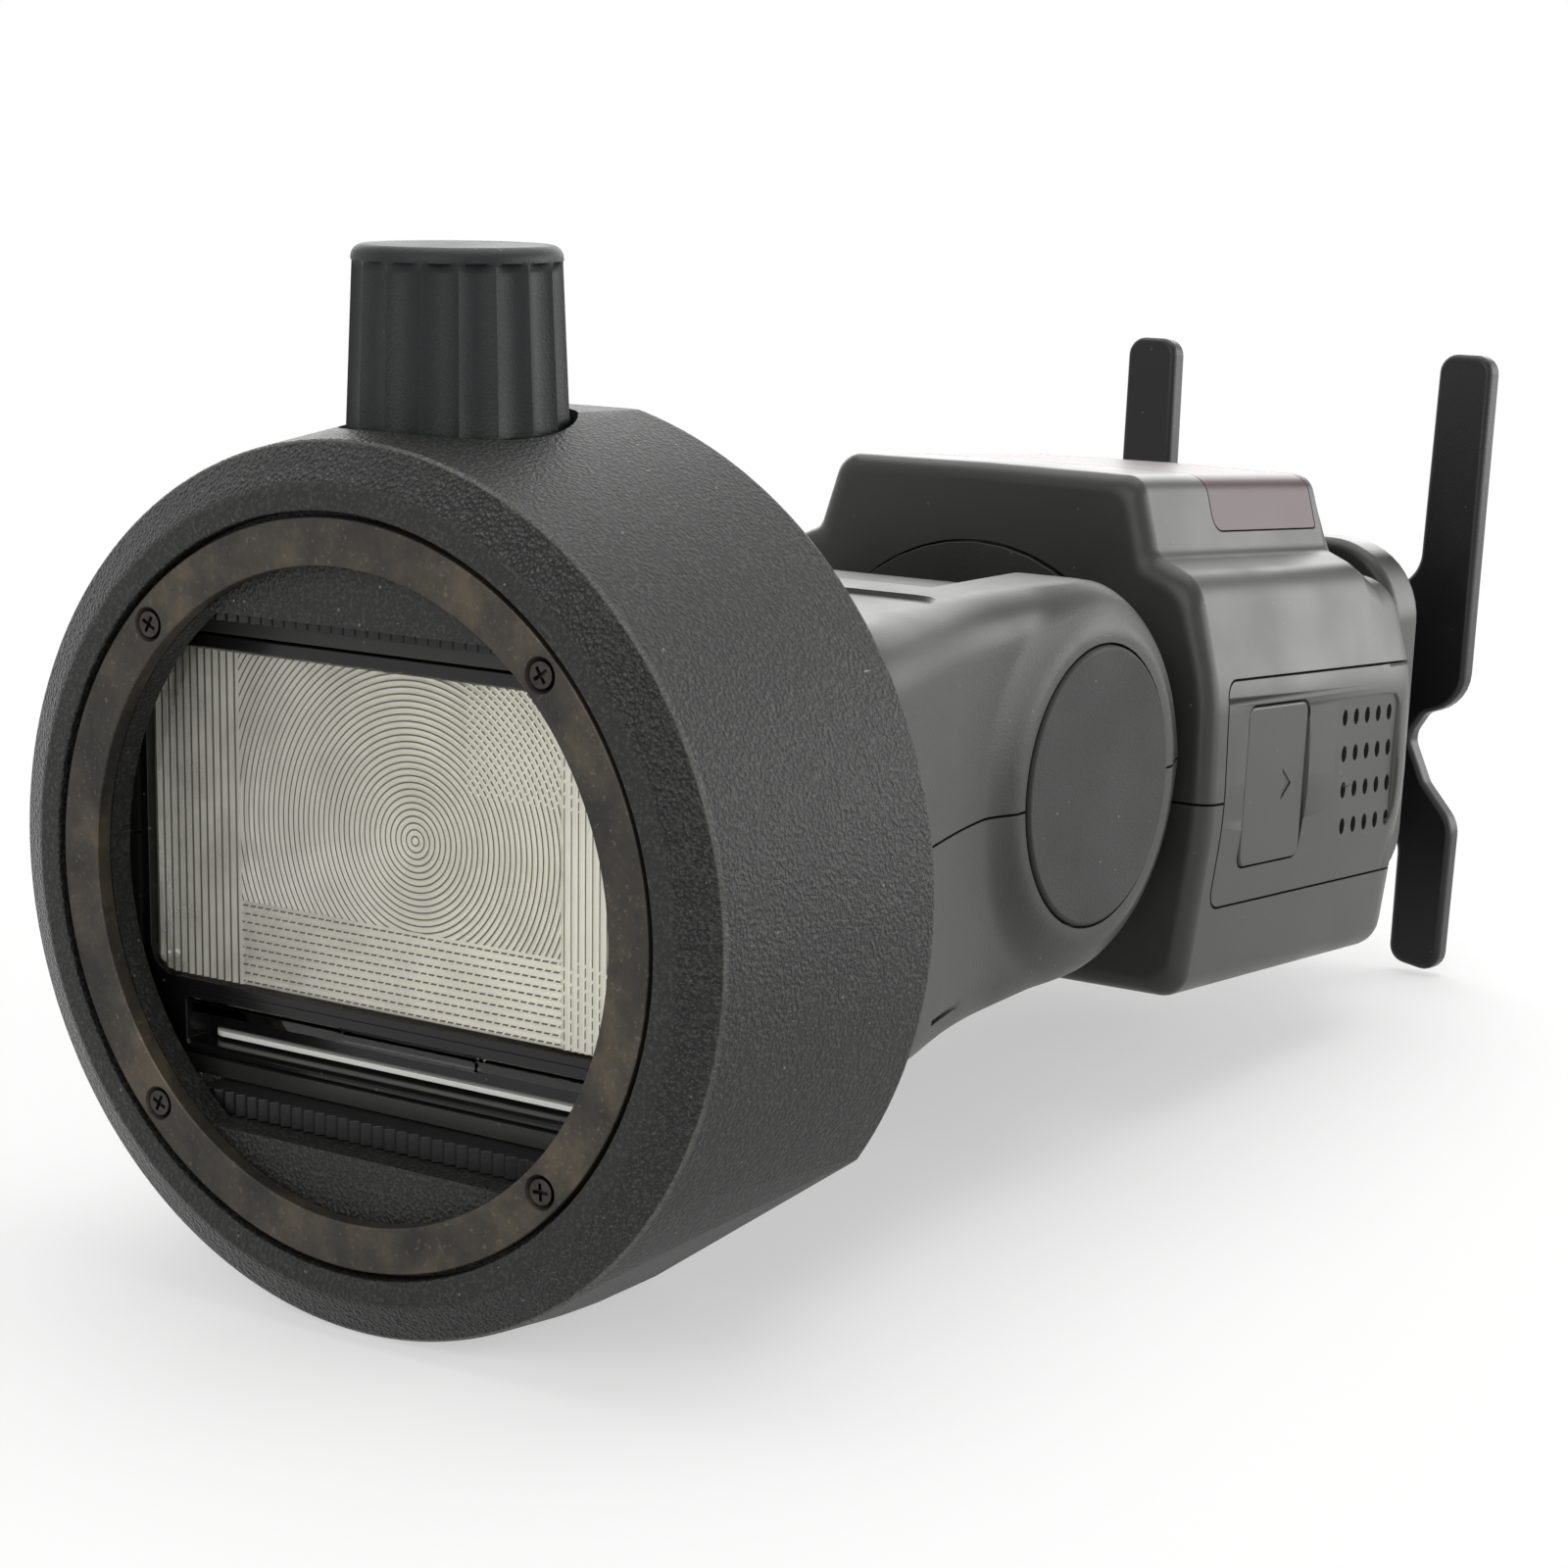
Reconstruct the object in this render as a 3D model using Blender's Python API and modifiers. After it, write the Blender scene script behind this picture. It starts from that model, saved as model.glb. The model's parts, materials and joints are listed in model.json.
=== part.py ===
"""Camera flash with a round-head adapter and a small table stand.

The flash lies on its back, as it was photographed: X runs along the head from
the ring to the stand, Z is up and the battery side faces -Y.  Shapes are
written in millimetres and turned into Blender's metres when a piece is seated.
"""
import math

import bmesh
import bpy
from mathutils import Matrix, Vector

MM = 0.001
GAP = 0.3            # running clearance between neighbours
SEAM = 0.15          # half of the gap where two shells meet

# Places shared by the whole flash
HINGE_X = 94.0       # tilt hinge, measured from the ring's front face
HINGE_Z = 1.0
REST_TILT = math.radians(4.4)   # how far the body hangs down from the head's axis

# Round-head adapter
RING_IN_R = 33.0
RING_OUT_R = 37.8
RING_FRONT = 0.3
RING_THICK = 1.8
LIP_IN_R = RING_OUT_R + 0.6
LIP_OUT_R = 40.8
BEZEL_R = 45.2
BEZEL_DEPTH = 2.4
ADAPTER_DEPTH = 34.0
ADAPTER_REAR_R = 48.4
ADAPTER_WALL = 2.5
WEB_FRONT = RING_FRONT + RING_THICK + 0.2
WEB_THICK = 2.7
WINDOW_HALF = 26.8   # the window behind the ring is cut off flat at this height
FLAT_R = 45.2        # flats under the adapter, measured from its axis
FLAT_ANGLE = 35.0    # the two slanted flats, from straight down
TOP_FLAT_Z = 46.8
RING_SCREW_R = 35.45
SCREW_HEAD_R = 1.5
SCREW_SHANK_R = 0.8
SCREW_LENGTH = 5.6
SHELF_THICK = 2.6
SHELF_Z = -27.0
SHELF_HALF = 33.6
PAD_X0 = 6.0
PAD_X1 = 30.0
PAD_HALF = 25.0
PAD_TEETH = 17
PAD_TOOTH = 0.8

# Clamp
CLAMP_X = 19.0
KNOB_TOP_R = 10.5
KNOB_BOTTOM_R = 11.3
KNOB_BOTTOM = 45.0
KNOB_TOP = 63.4
KNOB_FLUTES = 18
KNOB_FLUTE_DEPTH = 0.75
RECESS_FLOOR = KNOB_BOTTOM - 0.4
STUD_R = 2.5
INSERT_R = 4.6
INSERT_LENGTH = 6.0
CLAMP_PLATE_THICK = 2.0

# Head
HEAD_FRONT = 9.5
HEAD_HALF_FRONT = 38.0
HEAD_HALF_REAR = 31.2
HEAD_TAPER_START = 34.0
HEAD_TAPER_END = 76.0
HEAD_TOP = 25.0
HEAD_BOTTOM = -24.3
EAR_R = 23.5
HEAD_WALL = 1.8
HEAD_SEAM_Z = 0.6
HEAD_CORNER = 8.0
BOSS_HALF = 33.0
BOSS_R = 18.4
CAP_R = 16.3
CAP_PROUD = 0.4
CAP_THICK = 1.6
LENS_HALF = 34.6
LENS_TOP = 21.2
LENS_BOTTOM = -14.0
LENS_FRONT = 10.3
LENS_THICK = 2.0
FRAME_DEPTH = 5.0
PANEL_Z = -17.5
PANEL_THICK = 1.0
PANEL_HALF = 29.5
PANEL_FRONT = 10.2
PANEL_LENGTH = 40.0
CARD_Z = -20.6
CARD_THICK = 0.6
CARD_HALF = 29.0
CARD_FRONT = 12.2
CARD_LENGTH = 38.0
TRAY_TOP = -15.0
TRAY_BOTTOM = -22.1
TRAY_END = 52.0
TRAY_WALL = 1.2

# Zoom carriage, behind the lens
REFLECTOR_FRONT = 24.0
REFLECTOR_DEPTH = 20.0
REFLECTOR_HALF_Z = 14.5
REFLECTOR_HALF_Y = 28.8
REFLECTOR_WALL = 0.8
LAMP_Z = 3.6
TUBE_R = 2.2
TUBE_HALF = 30.8
CARRIAGE_DEPTH = 5.5
ZOOM_TRAVEL = 16.0
SCREW_Z = 20.8
ZOOM_SCREW_R = 1.3
MOTOR_R = 5.0

# Neck between head and body
TONGUE_HALF = 19.5
TONGUE_R = 20.0
TONGUE_BASE = 16.0
AXLE_R = 5.0
AXLE_HALF = 28.6
BASE_PROUD = 0.6
BASE_GAP = 0.35
BASE_R = 25.0
BASE_SUNK = 1.0
TURRET_R = 13.0
TURRET_BORE = 9.0
PAN_RING_R = 17.5
PAN_RING_THICK = 2.2
TURRET_PAST_RING = 0.4

# Body
BODY_FRONT = 25.0
BODY_END = 88.0
BODY_WALL = 2.4
BODY_SEAM_Z = -4.3
BODY_BACK_Z = -28.7
BODY_HALF = 34.7
PORT_X = (44.0, 66.0)
PORT_Z = (-20.0, -10.5)
PORT_DEPTH = 1.3
HUMP_Z = 34.8
HUMP_HALF = 21.8
HUMP_END = 74.0
HUMP_SLOPE = 5.5     # the length over which the hump comes down
HUMP_DROP = 10.6
SHOULDER_Z = 22.6
FRONT_ROUND = 3.2
END_ROUND = 6.5
WINDOW_X0 = 43.2
WINDOW_X1 = 72.4
WINDOW_LOW = 28.0
BATTERY_X0 = 29.7
BATTERY_TOP = 10.5
BATTERY_BOTTOM = -17.5
BATTERY_INNER = 18.0
PACK_SKIN = 3.4      # how far the pack's face reaches into the body
LATCH_SUNK = 0.4
RELEASE_X0 = 35.4
RELEASE_X1 = 52.4
RELEASE_Z0 = -12.9
RELEASE_Z1 = 7.1
RELEASE_DEPTH = 1.4

# Foot and stand
PEDESTAL_HALF = 29.2
PEDESTAL_TOP = 26.0
PEDESTAL_BOTTOM = -25.0
PEDESTAL_END = BODY_END + 9.0
WHEEL_R = 20.5
WHEEL_THICK = 3.8
FOOT_HALF = 9.3
FOOT_THICK = 2.0
FOOT_NECK_HALF = 6.2
FOOT_X = PEDESTAL_END + 7.3
STAND_FRONT = FOOT_X + 10.7
STAND_THICK = 3.5
STAND_TOP = 52.0
STAND_EDGE = 0.9
ARM_IN = 20.6
ARM_OUT = 29.2
HUB_FRONT = FOOT_X - 2.7
HUB_HALF = 14.0
INSERT_NUT_R = 5.0
INSERT_NUT_BORE = 3.2
INSERT_NUT_DEPTH = 4.2

# The flash rests on the adapter's lowest flat and on the ends of the stand's lower arms.
FLOOR_Z = -FLAT_R
STAND_BACK = STAND_FRONT + STAND_THICK
STAND_BOTTOM = ((FLOOR_Z - HINGE_Z + (STAND_BACK - STAND_EDGE) * math.sin(REST_TILT))
                / math.cos(REST_TILT))
# The origin lies under the middle of the flash.
REACH_X = HINGE_X + STAND_BACK * math.cos(REST_TILT) + STAND_TOP * math.sin(REST_TILT)
BOX_MID_X = REACH_X / 2

MATERIALS = {
    "shell_plastic": ((0.030, 0.031, 0.031), 0.52, 0.0),
    "body_plastic": ((0.040, 0.041, 0.040), 0.45, 0.0),
    "grained_plastic": ((0.028, 0.029, 0.029), 0.55, 0.0),
    "steel": ((0.30, 0.30, 0.30), 0.35, 1.0),
    "aged_steel": ((0.085, 0.070, 0.055), 0.55, 0.9),
    "brass": ((0.60, 0.42, 0.16), 0.35, 1.0),
    "black_rubber": ((0.020, 0.020, 0.021), 0.80, 0.0),
    "clear_plastic": ((0.80, 0.82, 0.80), 0.08, 0.0),
    "white_card": ((0.80, 0.82, 0.80), 0.50, 0.0),
    "mirror_metal": ((0.75, 0.76, 0.76), 0.15, 1.0),
    "glass": ((0.85, 0.88, 0.88), 0.05, 0.0),
    "red_window": ((0.10, 0.010, 0.016), 0.20, 0.0),
    "circuit_board": ((0.02, 0.10, 0.05), 0.50, 0.0),
    "display": ((0.10, 0.13, 0.11), 0.15, 0.0),
    "gold_contact": ((0.80, 0.60, 0.25), 0.25, 1.0),
}


def clear_scene():
    for old in list(bpy.data.objects):
        bpy.data.objects.remove(old, do_unlink=True)


def collection(name):
    made = bpy.data.collections.new(name)
    bpy.context.scene.collection.children.link(made)
    return made


def material(name):
    found = bpy.data.materials.get(name)
    if found:
        return found
    colour, roughness, metallic = MATERIALS[name]
    made = bpy.data.materials.new(name)
    made.use_nodes = True
    shader = made.node_tree.nodes["Principled BSDF"]
    shader.inputs["Base Color"].default_value = (*colour, 1.0)
    shader.inputs["Roughness"].default_value = roughness
    shader.inputs["Metallic"].default_value = metallic
    made.diffuse_color = (*colour, 1.0)
    return made


clear_scene()
PARTS = collection("camera_flash")
CUTTERS = collection("cutters")


def empty(name, parent, place, turn_y=0.0):
    made = bpy.data.objects.new(name, None)
    made.empty_display_size = 10 * MM
    PARTS.objects.link(made)
    made.parent = parent
    made.location = Vector(place) * MM
    made.rotation_euler = (0, turn_y, 0)
    return made


# The frames: the head's own, with the ring's front at X = 0, and the body's,
# whose origin is on the tilt hinge.
FLASH = empty("flash_origin", None, (-BOX_MID_X, 0, -FLOOR_Z))
HEAD = empty("head_frame", FLASH, (0, 0, 0))
BODY = empty("body_frame", FLASH, (HINGE_X, 0, HINGE_Z), REST_TILT)


def from_bmesh(name, bm):
    bmesh.ops.recalc_face_normals(bm, faces=bm.faces)
    if bm.calc_volume(signed=True) < 0:
        bmesh.ops.reverse_faces(bm, faces=bm.faces)
    mesh = bpy.data.meshes.new(name)
    bm.to_mesh(mesh)
    bm.free()
    return bpy.data.objects.new(name, mesh)


def place(thing, frame, pivot):
    """Move a shape drawn in a frame's millimetres to metres, with its origin at the pivot."""
    if thing.data.users == 1:
        thing.data.transform(Matrix.Translation(-Vector(pivot)))
        thing.data.transform(Matrix.Scale(MM, 4))
    thing.parent = frame
    thing.location = Vector(pivot) * MM
    return thing


def seat(thing, frame, finish, pivot=(0, 0, 0), smooth=40):
    PARTS.objects.link(thing)
    place(thing, frame, pivot)
    thing.data.materials.clear()
    thing.data.materials.append(material(finish))
    if smooth:
        thing.data.shade_smooth()
        thing.data.set_sharp_from_angle(angle=math.radians(smooth))
    return thing


def tool(thing, frame):
    CUTTERS.objects.link(thing)
    place(thing, frame, (0, 0, 0))
    thing.hide_render = True
    thing.display_type = "WIRE"
    return thing


def combine(target, other, operation, frame):
    tool(other, frame)
    step = target.modifiers.new(operation.lower() + "_" + other.name, "BOOLEAN")
    step.operation = operation
    step.solver = "EXACT"
    step.object = other
    return target


def cut(target, frame, *others):
    for other in others:
        combine(target, other, "DIFFERENCE", frame)
    return target


def join(target, frame, *others):
    for other in others:
        combine(target, other, "UNION", frame)
    return target


def keep(target, frame, other):
    return combine(target, other, "INTERSECT", frame)


def bevel(target, width, segments=2, angle=35):
    step = target.modifiers.new("rounded_edges", "BEVEL")
    step.width = width * MM
    step.segments = segments
    step.limit_method = "ANGLE"
    step.angle_limit = math.radians(angle)
    return target


def box(name, x, y, z):
    bm = bmesh.new()
    bmesh.ops.create_cube(bm, size=1.0)
    size = (x[1] - x[0], y[1] - y[0], z[1] - z[0])
    middle = ((x[0] + x[1]) / 2, (y[0] + y[1]) / 2, (z[0] + z[1]) / 2)
    bm.transform(Matrix.Translation(middle) @ Matrix.Diagonal((*size, 1.0)))
    return from_bmesh(name, bm)


AXIS_TURN = {
    "X": Matrix.Rotation(math.radians(90), 4, "Y"),
    "Y": Matrix.Rotation(math.radians(-90), 4, "X"),
    "Z": Matrix.Identity(4),
}


def cone(name, axis, centre, low, high, low_r, high_r, segments=48):
    """A cylinder or cone; centre is the point on its axis that low and high are measured from."""
    bm = bmesh.new()
    bmesh.ops.create_cone(bm, cap_ends=True, segments=segments, radius1=low_r, radius2=high_r,
                          depth=high - low)
    bm.transform(Matrix.Translation((0, 0, (low + high) / 2)))
    bm.transform(AXIS_TURN[axis])
    bm.transform(Matrix.Translation(centre))
    return from_bmesh(name, bm)


def cylinder(name, axis, centre, low, high, radius, segments=48):
    return cone(name, axis, centre, low, high, radius, radius, segments)


def turned(name, profile, steps=60, closed=True):
    """A shape turned about X from (x, radius) points."""
    bm = bmesh.new()
    points = [bm.verts.new((x, 0, r)) for x, r in profile]
    for first, second in zip(points, points[1:]):
        bm.edges.new((first, second))
    if closed:
        bm.edges.new((points[-1], points[0]))
    mesh = bpy.data.meshes.new(name)
    bm.to_mesh(mesh)
    bm.free()
    thing = bpy.data.objects.new(name, mesh)
    step = thing.modifiers.new("turned", "SCREW")
    step.axis = "X"
    step.steps = steps
    step.render_steps = steps
    step.use_merge_vertices = True
    step.merge_threshold = 0.00001
    step.use_normal_calculate = True
    return thing


def fillet(corners, segments=5):
    """An outline from (x, y, radius) corners, each rounded by an arc."""
    outline = []
    count = len(corners)
    for index, (x, y, radius) in enumerate(corners):
        corner = Vector((x, y))
        before = (Vector(corners[index - 1][:2]) - corner).normalized()
        after = (Vector(corners[(index + 1) % count][:2]) - corner).normalized()
        if radius <= 0:
            outline.append((x, y))
            continue
        half = before.angle(after) / 2
        start = corner + before * (radius / math.tan(half))
        centre = corner + (before + after).normalized() * (radius / math.sin(half))
        end = corner + after * (radius / math.tan(half))
        first = math.atan2(start.y - centre.y, start.x - centre.x)
        sweep = math.atan2(end.y - centre.y, end.x - centre.x) - first
        sweep = (sweep + math.pi) % (2 * math.pi) - math.pi
        for k in range(segments + 1):
            angle = first + sweep * k / segments
            outline.append((centre.x + radius * math.cos(angle), centre.y + radius * math.sin(angle)))
    return outline


def rounded(a, b, radius):
    """Corners of a rectangle from a = (low, high) and b = (low, high)."""
    return [(a[0], b[0], radius), (a[1], b[0], radius), (a[1], b[1], radius), (a[0], b[1], radius)]


def circle(centre, radius, segments=48):
    return [(centre[0] + radius * math.cos(2 * math.pi * k / segments),
             centre[1] + radius * math.sin(2 * math.pi * k / segments)) for k in range(segments)]


# For a plate that stands across an axis: which axes its outline's two numbers run along.
PLATE_TURN = {
    "X": Matrix(((0, 0, 1, 0), (1, 0, 0, 0), (0, 1, 0, 0), (0, 0, 0, 1))),
    "Y": Matrix(((1, 0, 0, 0), (0, 0, -1, 0), (0, 1, 0, 0), (0, 0, 0, 1))),
    "Z": Matrix.Identity(4),
}


def plate(name, axis, low, high, *outlines):
    """A flat outline, with any holes, as thick as from low to high along an axis.

    Across X the outline is (y, z), across Y it is (x, z) and across Z it is (x, y).
    """
    curve = bpy.data.curves.new(name, "CURVE")
    curve.dimensions = "2D"
    curve.fill_mode = "BOTH"
    curve.extrude = (high - low) / 2
    for outline in outlines:
        spline = curve.splines.new("POLY")
        spline.points.add(len(outline) - 1)
        for point, (u, v) in zip(spline.points, outline):
            point.co = (u, v, 0, 1)
        spline.use_cyclic_u = True
    drawn = bpy.data.objects.new(name, curve)
    CUTTERS.objects.link(drawn)
    bpy.context.view_layer.update()
    graph = bpy.context.evaluated_depsgraph_get()
    mesh = bpy.data.meshes.new_from_object(drawn.evaluated_get(graph))
    bpy.data.objects.remove(drawn, do_unlink=True)
    bpy.data.curves.remove(curve)
    bm = bmesh.new()
    bm.from_mesh(mesh)
    bpy.data.meshes.remove(mesh)
    bmesh.ops.remove_doubles(bm, verts=bm.verts, dist=0.001)
    bm.transform(Matrix.Translation((0, 0, (low + high) / 2)))
    if axis == "Y":
        bm.transform(Matrix.Translation((0, 0, -(low + high))))
    bm.transform(PLATE_TURN[axis])
    return from_bmesh(name, bm)


def loft(name, sections, caps=(True, True)):
    """A skin through sections that all have the same number of points."""
    bm = bmesh.new()
    rings = [[bm.verts.new(point) for point in section] for section in sections]
    count = len(rings[0])
    for ring, following in zip(rings, rings[1:]):
        for k in range(count):
            bm.faces.new((ring[k], ring[(k + 1) % count], following[(k + 1) % count], following[k]))
    if caps[0]:
        bm.faces.new(rings[0])
    if caps[1]:
        bm.faces.new(rings[-1])
    return from_bmesh(name, bm)


def polygon(lines):
    """Corners where neighbouring lines meet; a line is (angle of its normal, distance)."""
    corners = []
    for (a, d), (b, e) in zip(lines, lines[1:] + lines[:1]):
        a, b = math.radians(a), math.radians(b)
        det = math.cos(a) * math.sin(b) - math.sin(a) * math.cos(b)
        corners.append(((d * math.sin(b) - e * math.sin(a)) / det,
                        (e * math.cos(a) - d * math.cos(b)) / det))
    return corners


def adapter_flats(name, wall=0.0):
    """Across X, the flats that cut the round skirt: one on top and three below."""
    far = 70
    return plate(name, "X", -5, ADAPTER_DEPTH + 5, polygon([
        (90, TOP_FLAT_Z - wall), (180, far), (270 - FLAT_ANGLE, FLAT_R - wall), (270, FLAT_R - wall),
        (270 + FLAT_ANGLE, FLAT_R - wall), (0, far)]))


def adapter_shell():
    """The adapter's housing: bezel, conical skirt, web with the lens window, shelf and knob seat."""
    web_back = WEB_FRONT + WEB_THICK
    shell = turned("adapter_shell", [
        (ADAPTER_DEPTH, 0), (ADAPTER_DEPTH, ADAPTER_REAR_R - 0.8), (ADAPTER_DEPTH - 0.8, ADAPTER_REAR_R),
        (BEZEL_DEPTH, BEZEL_R), (0, LIP_OUT_R), (0, LIP_IN_R), (WEB_FRONT, LIP_IN_R), (WEB_FRONT, 0)],
        closed=False)
    seat(shell, HEAD, "grained_plastic")
    keep(shell, HEAD, adapter_flats("outer_flats"))
    hollow = turned("adapter_hollow", [
        (ADAPTER_DEPTH + 1, 0), (ADAPTER_DEPTH + 1, ADAPTER_REAR_R - ADAPTER_WALL),
        (web_back, BEZEL_R - ADAPTER_WALL), (web_back, 0)], closed=False)
    keep(hollow, HEAD, adapter_flats("inner_flats", ADAPTER_WALL))
    cut(shell, HEAD, hollow)
    seat_pad = cylinder("knob_seat_pad", "Z", (CLAMP_X, 0, 0), RECESS_FLOOR - 2.4, RECESS_FLOOR + 1.6,
                        KNOB_BOTTOM_R + 1.9)
    insert_boss = cylinder("insert_boss", "Z", (CLAMP_X, 0, 0), RECESS_FLOOR - 2.6 - INSERT_LENGTH,
                           RECESS_FLOOR - 1, INSERT_R + 2.0)
    shelf = box("shelf", (web_back - 0.5, ADAPTER_DEPTH - 3), (-SHELF_HALF, SHELF_HALF),
                (SHELF_Z - SHELF_THICK, SHELF_Z))
    join(shell, HEAD, seat_pad, insert_boss, shelf)
    half = math.degrees(math.asin(WINDOW_HALF / RING_IN_R))
    steps = 12
    right = [math.radians(-half + 2 * half * k / steps) for k in range(steps + 1)]
    window = [(RING_IN_R * math.cos(a), RING_IN_R * math.sin(a)) for a in right]
    window += [(-y, -z) for y, z in window]
    holes = [cylinder("hole_" + name, "X", (0, y, z), WEB_FRONT - 1, web_back + 1, SCREW_SHANK_R + 0.2, 10)
             for name, y, z in screw_places()]
    cut(shell, HEAD, *holes, plate("lens_window", "X", WEB_FRONT - 1, web_back + 1, window),
        cylinder("knob_recess", "Z", (CLAMP_X, 0, 0), RECESS_FLOOR, TOP_FLAT_Z + 6, KNOB_BOTTOM_R + 0.7),
        cylinder("stud_hole", "Z", (CLAMP_X, 0, 0), 30, TOP_FLAT_Z, STUD_R + GAP, 24),
        cylinder("insert_pocket", "Z", (CLAMP_X, 0, 0), 30, RECESS_FLOOR - 2.6, INSERT_R + 0.1, 6))


def screw_places():
    side = RING_SCREW_R * math.sqrt(0.5)
    return [("ring_screw_%d" % (k + 1), y * side, z * side)
            for k, (y, z) in enumerate(((1, 1), (-1, 1), (-1, -1), (1, -1)))]


def ring_plate():
    """The steel ring that magnetic accessories hold on to."""
    back = RING_FRONT + RING_THICK
    ring = turned("ring_plate", [
        (RING_FRONT, RING_IN_R), (back, RING_IN_R), (back, RING_OUT_R), (RING_FRONT, RING_OUT_R)])
    seat(ring, HEAD, "aged_steel")
    for name, y, z in screw_places():
        cut(ring, HEAD,
            cone("sink_" + name, "X", (0, y, z), RING_FRONT - 0.2, back + 0.2,
                 SCREW_HEAD_R + 0.4, SCREW_SHANK_R + 0.1, 16))


def ring_screws():
    """Countersunk cross-head screws that hold the ring down."""
    for name, y, z in screw_places():
        head_end = RING_FRONT + 0.1 + SCREW_HEAD_R - SCREW_SHANK_R
        screw = cone(name, "X", (0, y, z), RING_FRONT + 0.1, head_end, SCREW_HEAD_R, SCREW_SHANK_R, 16)
        seat(screw, HEAD, "steel", (0, y, z))
        join(screw, HEAD, cylinder("shank_" + name, "X", (0, y, z), head_end - 0.3, SCREW_LENGTH,
                                   SCREW_SHANK_R, 10))
        for label, wide, tall in (("a", 0.85, 0.2), ("b", 0.2, 0.85)):
            cut(screw, HEAD, box("cross_%s_%s" % (label, name), (0, RING_FRONT + 0.6),
                                 (y - wide, y + wide), (z - tall, z + tall)))


def toothed_pad(name, low, high):
    """A rubber pad with a row of small teeth along its front edge."""
    pitch = 2 * PAD_HALF / PAD_TEETH
    outline = [(PAD_X1, PAD_HALF), (PAD_X1, -PAD_HALF)]
    for k in range(PAD_TEETH):
        y = -PAD_HALF + pitch * k
        outline += [(PAD_X0 + PAD_TOOTH, y + 0.05), (PAD_X0, y + pitch * 0.5)]
    outline.append((PAD_X0 + PAD_TOOTH, PAD_HALF))
    return plate(name, "Z", low, high, outline[::-1])


def clamp():
    """Pads, pressure plate, stud and knob: the knob pulls the plate away from the head."""
    lower = toothed_pad("lower_pad", SHELF_Z + 0.1, HEAD_BOTTOM - 0.2)
    seat(lower, HEAD, "black_rubber", smooth=0)
    pad_low = HEAD_TOP + 0.2
    pad_high = pad_low + 1.6
    pivot = (CLAMP_X, 0, pad_high)
    pad = toothed_pad("clamp_pad", pad_low, pad_high)
    seat(pad, HEAD, "black_rubber", pivot, smooth=0)
    plate_low = pad_high + 0.1
    plate_high = plate_low + CLAMP_PLATE_THICK
    press = plate("clamp_plate", "Z", plate_low, plate_high,
                  fillet(rounded((PAD_X0 + 0.6, PAD_X1), (-PAD_HALF, PAD_HALF), 3)))
    seat(press, HEAD, "steel", pivot)
    socket_top = plate_high + 2.2
    join(press, HEAD, cylinder("stud_socket", "Z", (CLAMP_X, 0, 0), plate_high - 0.5, socket_top, 4.6, 32))
    cut(press, HEAD, cylinder("stud_pocket", "Z", (CLAMP_X, 0, 0), plate_low + 1, socket_top + 1,
                              STUD_R + GAP, 24))
    stud_low = plate_low + 1 + GAP
    stud = cylinder("clamp_stud", "Z", (CLAMP_X, 0, 0), stud_low, KNOB_BOTTOM + 8, STUD_R, 24)
    seat(bevel(stud, 0.4, 1), HEAD, "steel", (CLAMP_X, 0, 0))
    nut_high = RECESS_FLOOR - 2.8
    nut = cylinder("nut_insert", "Z", (CLAMP_X, 0, 0), nut_high - INSERT_LENGTH + 0.2, nut_high, INSERT_R, 6)
    seat(nut, HEAD, "brass", (CLAMP_X, 0, 0), smooth=0)
    cut(nut, HEAD, cylinder("nut_bore", "Z", (CLAMP_X, 0, 0), 30, 50, STUD_R + GAP, 24))


def fluted_ring(centre, z, radius, depth):
    """One turn round the knob; the flutes are shallow valleys with rounded lands between."""
    per_flute = 4
    points = []
    for k in range(KNOB_FLUTES * per_flute):
        angle = 2 * math.pi * k / (KNOB_FLUTES * per_flute)
        valley = max(0.0, math.cos(angle * KNOB_FLUTES)) ** 0.8
        r = radius - depth * valley
        points.append((centre + r * math.cos(angle), r * math.sin(angle), z))
    return points


def clamp_knob():
    """The fluted thumb knob, wider at its foot and rounded at the top."""
    def r_at(z):
        share = (z - KNOB_BOTTOM) / (KNOB_TOP - KNOB_BOTTOM)
        return KNOB_BOTTOM_R + (KNOB_TOP_R - KNOB_BOTTOM_R) * share
    rows = [(KNOB_BOTTOM, 0.2, 1.0), (KNOB_TOP - 3.0, 0.0, 1.0), (KNOB_TOP - 1.5, 0.05, 0.0),
            (KNOB_TOP - 0.5, 0.5, 0.0), (KNOB_TOP, 1.6, 0.0)]
    knob = loft("clamp_knob", [fluted_ring(CLAMP_X, z, r_at(z) - inset, KNOB_FLUTE_DEPTH * share)
                               for z, inset, share in rows])
    seat(knob, HEAD, "shell_plastic", (CLAMP_X, 0, 0), smooth=30)
    cut(knob, HEAD, cylinder("knob_bore", "Z", (CLAMP_X, 0, 0), KNOB_BOTTOM - 2, KNOB_BOTTOM + 8.4,
                             STUD_R + 0.2, 24))


def head_half(x):
    share = min(1.0, max(0.0, (x - HEAD_TAPER_START) / (HEAD_TAPER_END - HEAD_TAPER_START)))
    eased = share * share * (3 - 2 * share)
    return HEAD_HALF_FRONT + (HEAD_HALF_REAR - HEAD_HALF_FRONT) * eased


def head_section(x, low, high, wall):
    half = head_half(x) - wall
    share = min(1.0, max(0.0, (x - HEAD_FRONT) / (HINGE_X - HEAD_FRONT)))
    corner = min(HEAD_CORNER - 3.5 * share - wall, (high - low) / 2 - 0.5)
    outline = fillet(rounded((-half, half), (low, high), corner), 3)
    return [(x, y, z) for y, z in outline]


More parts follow.
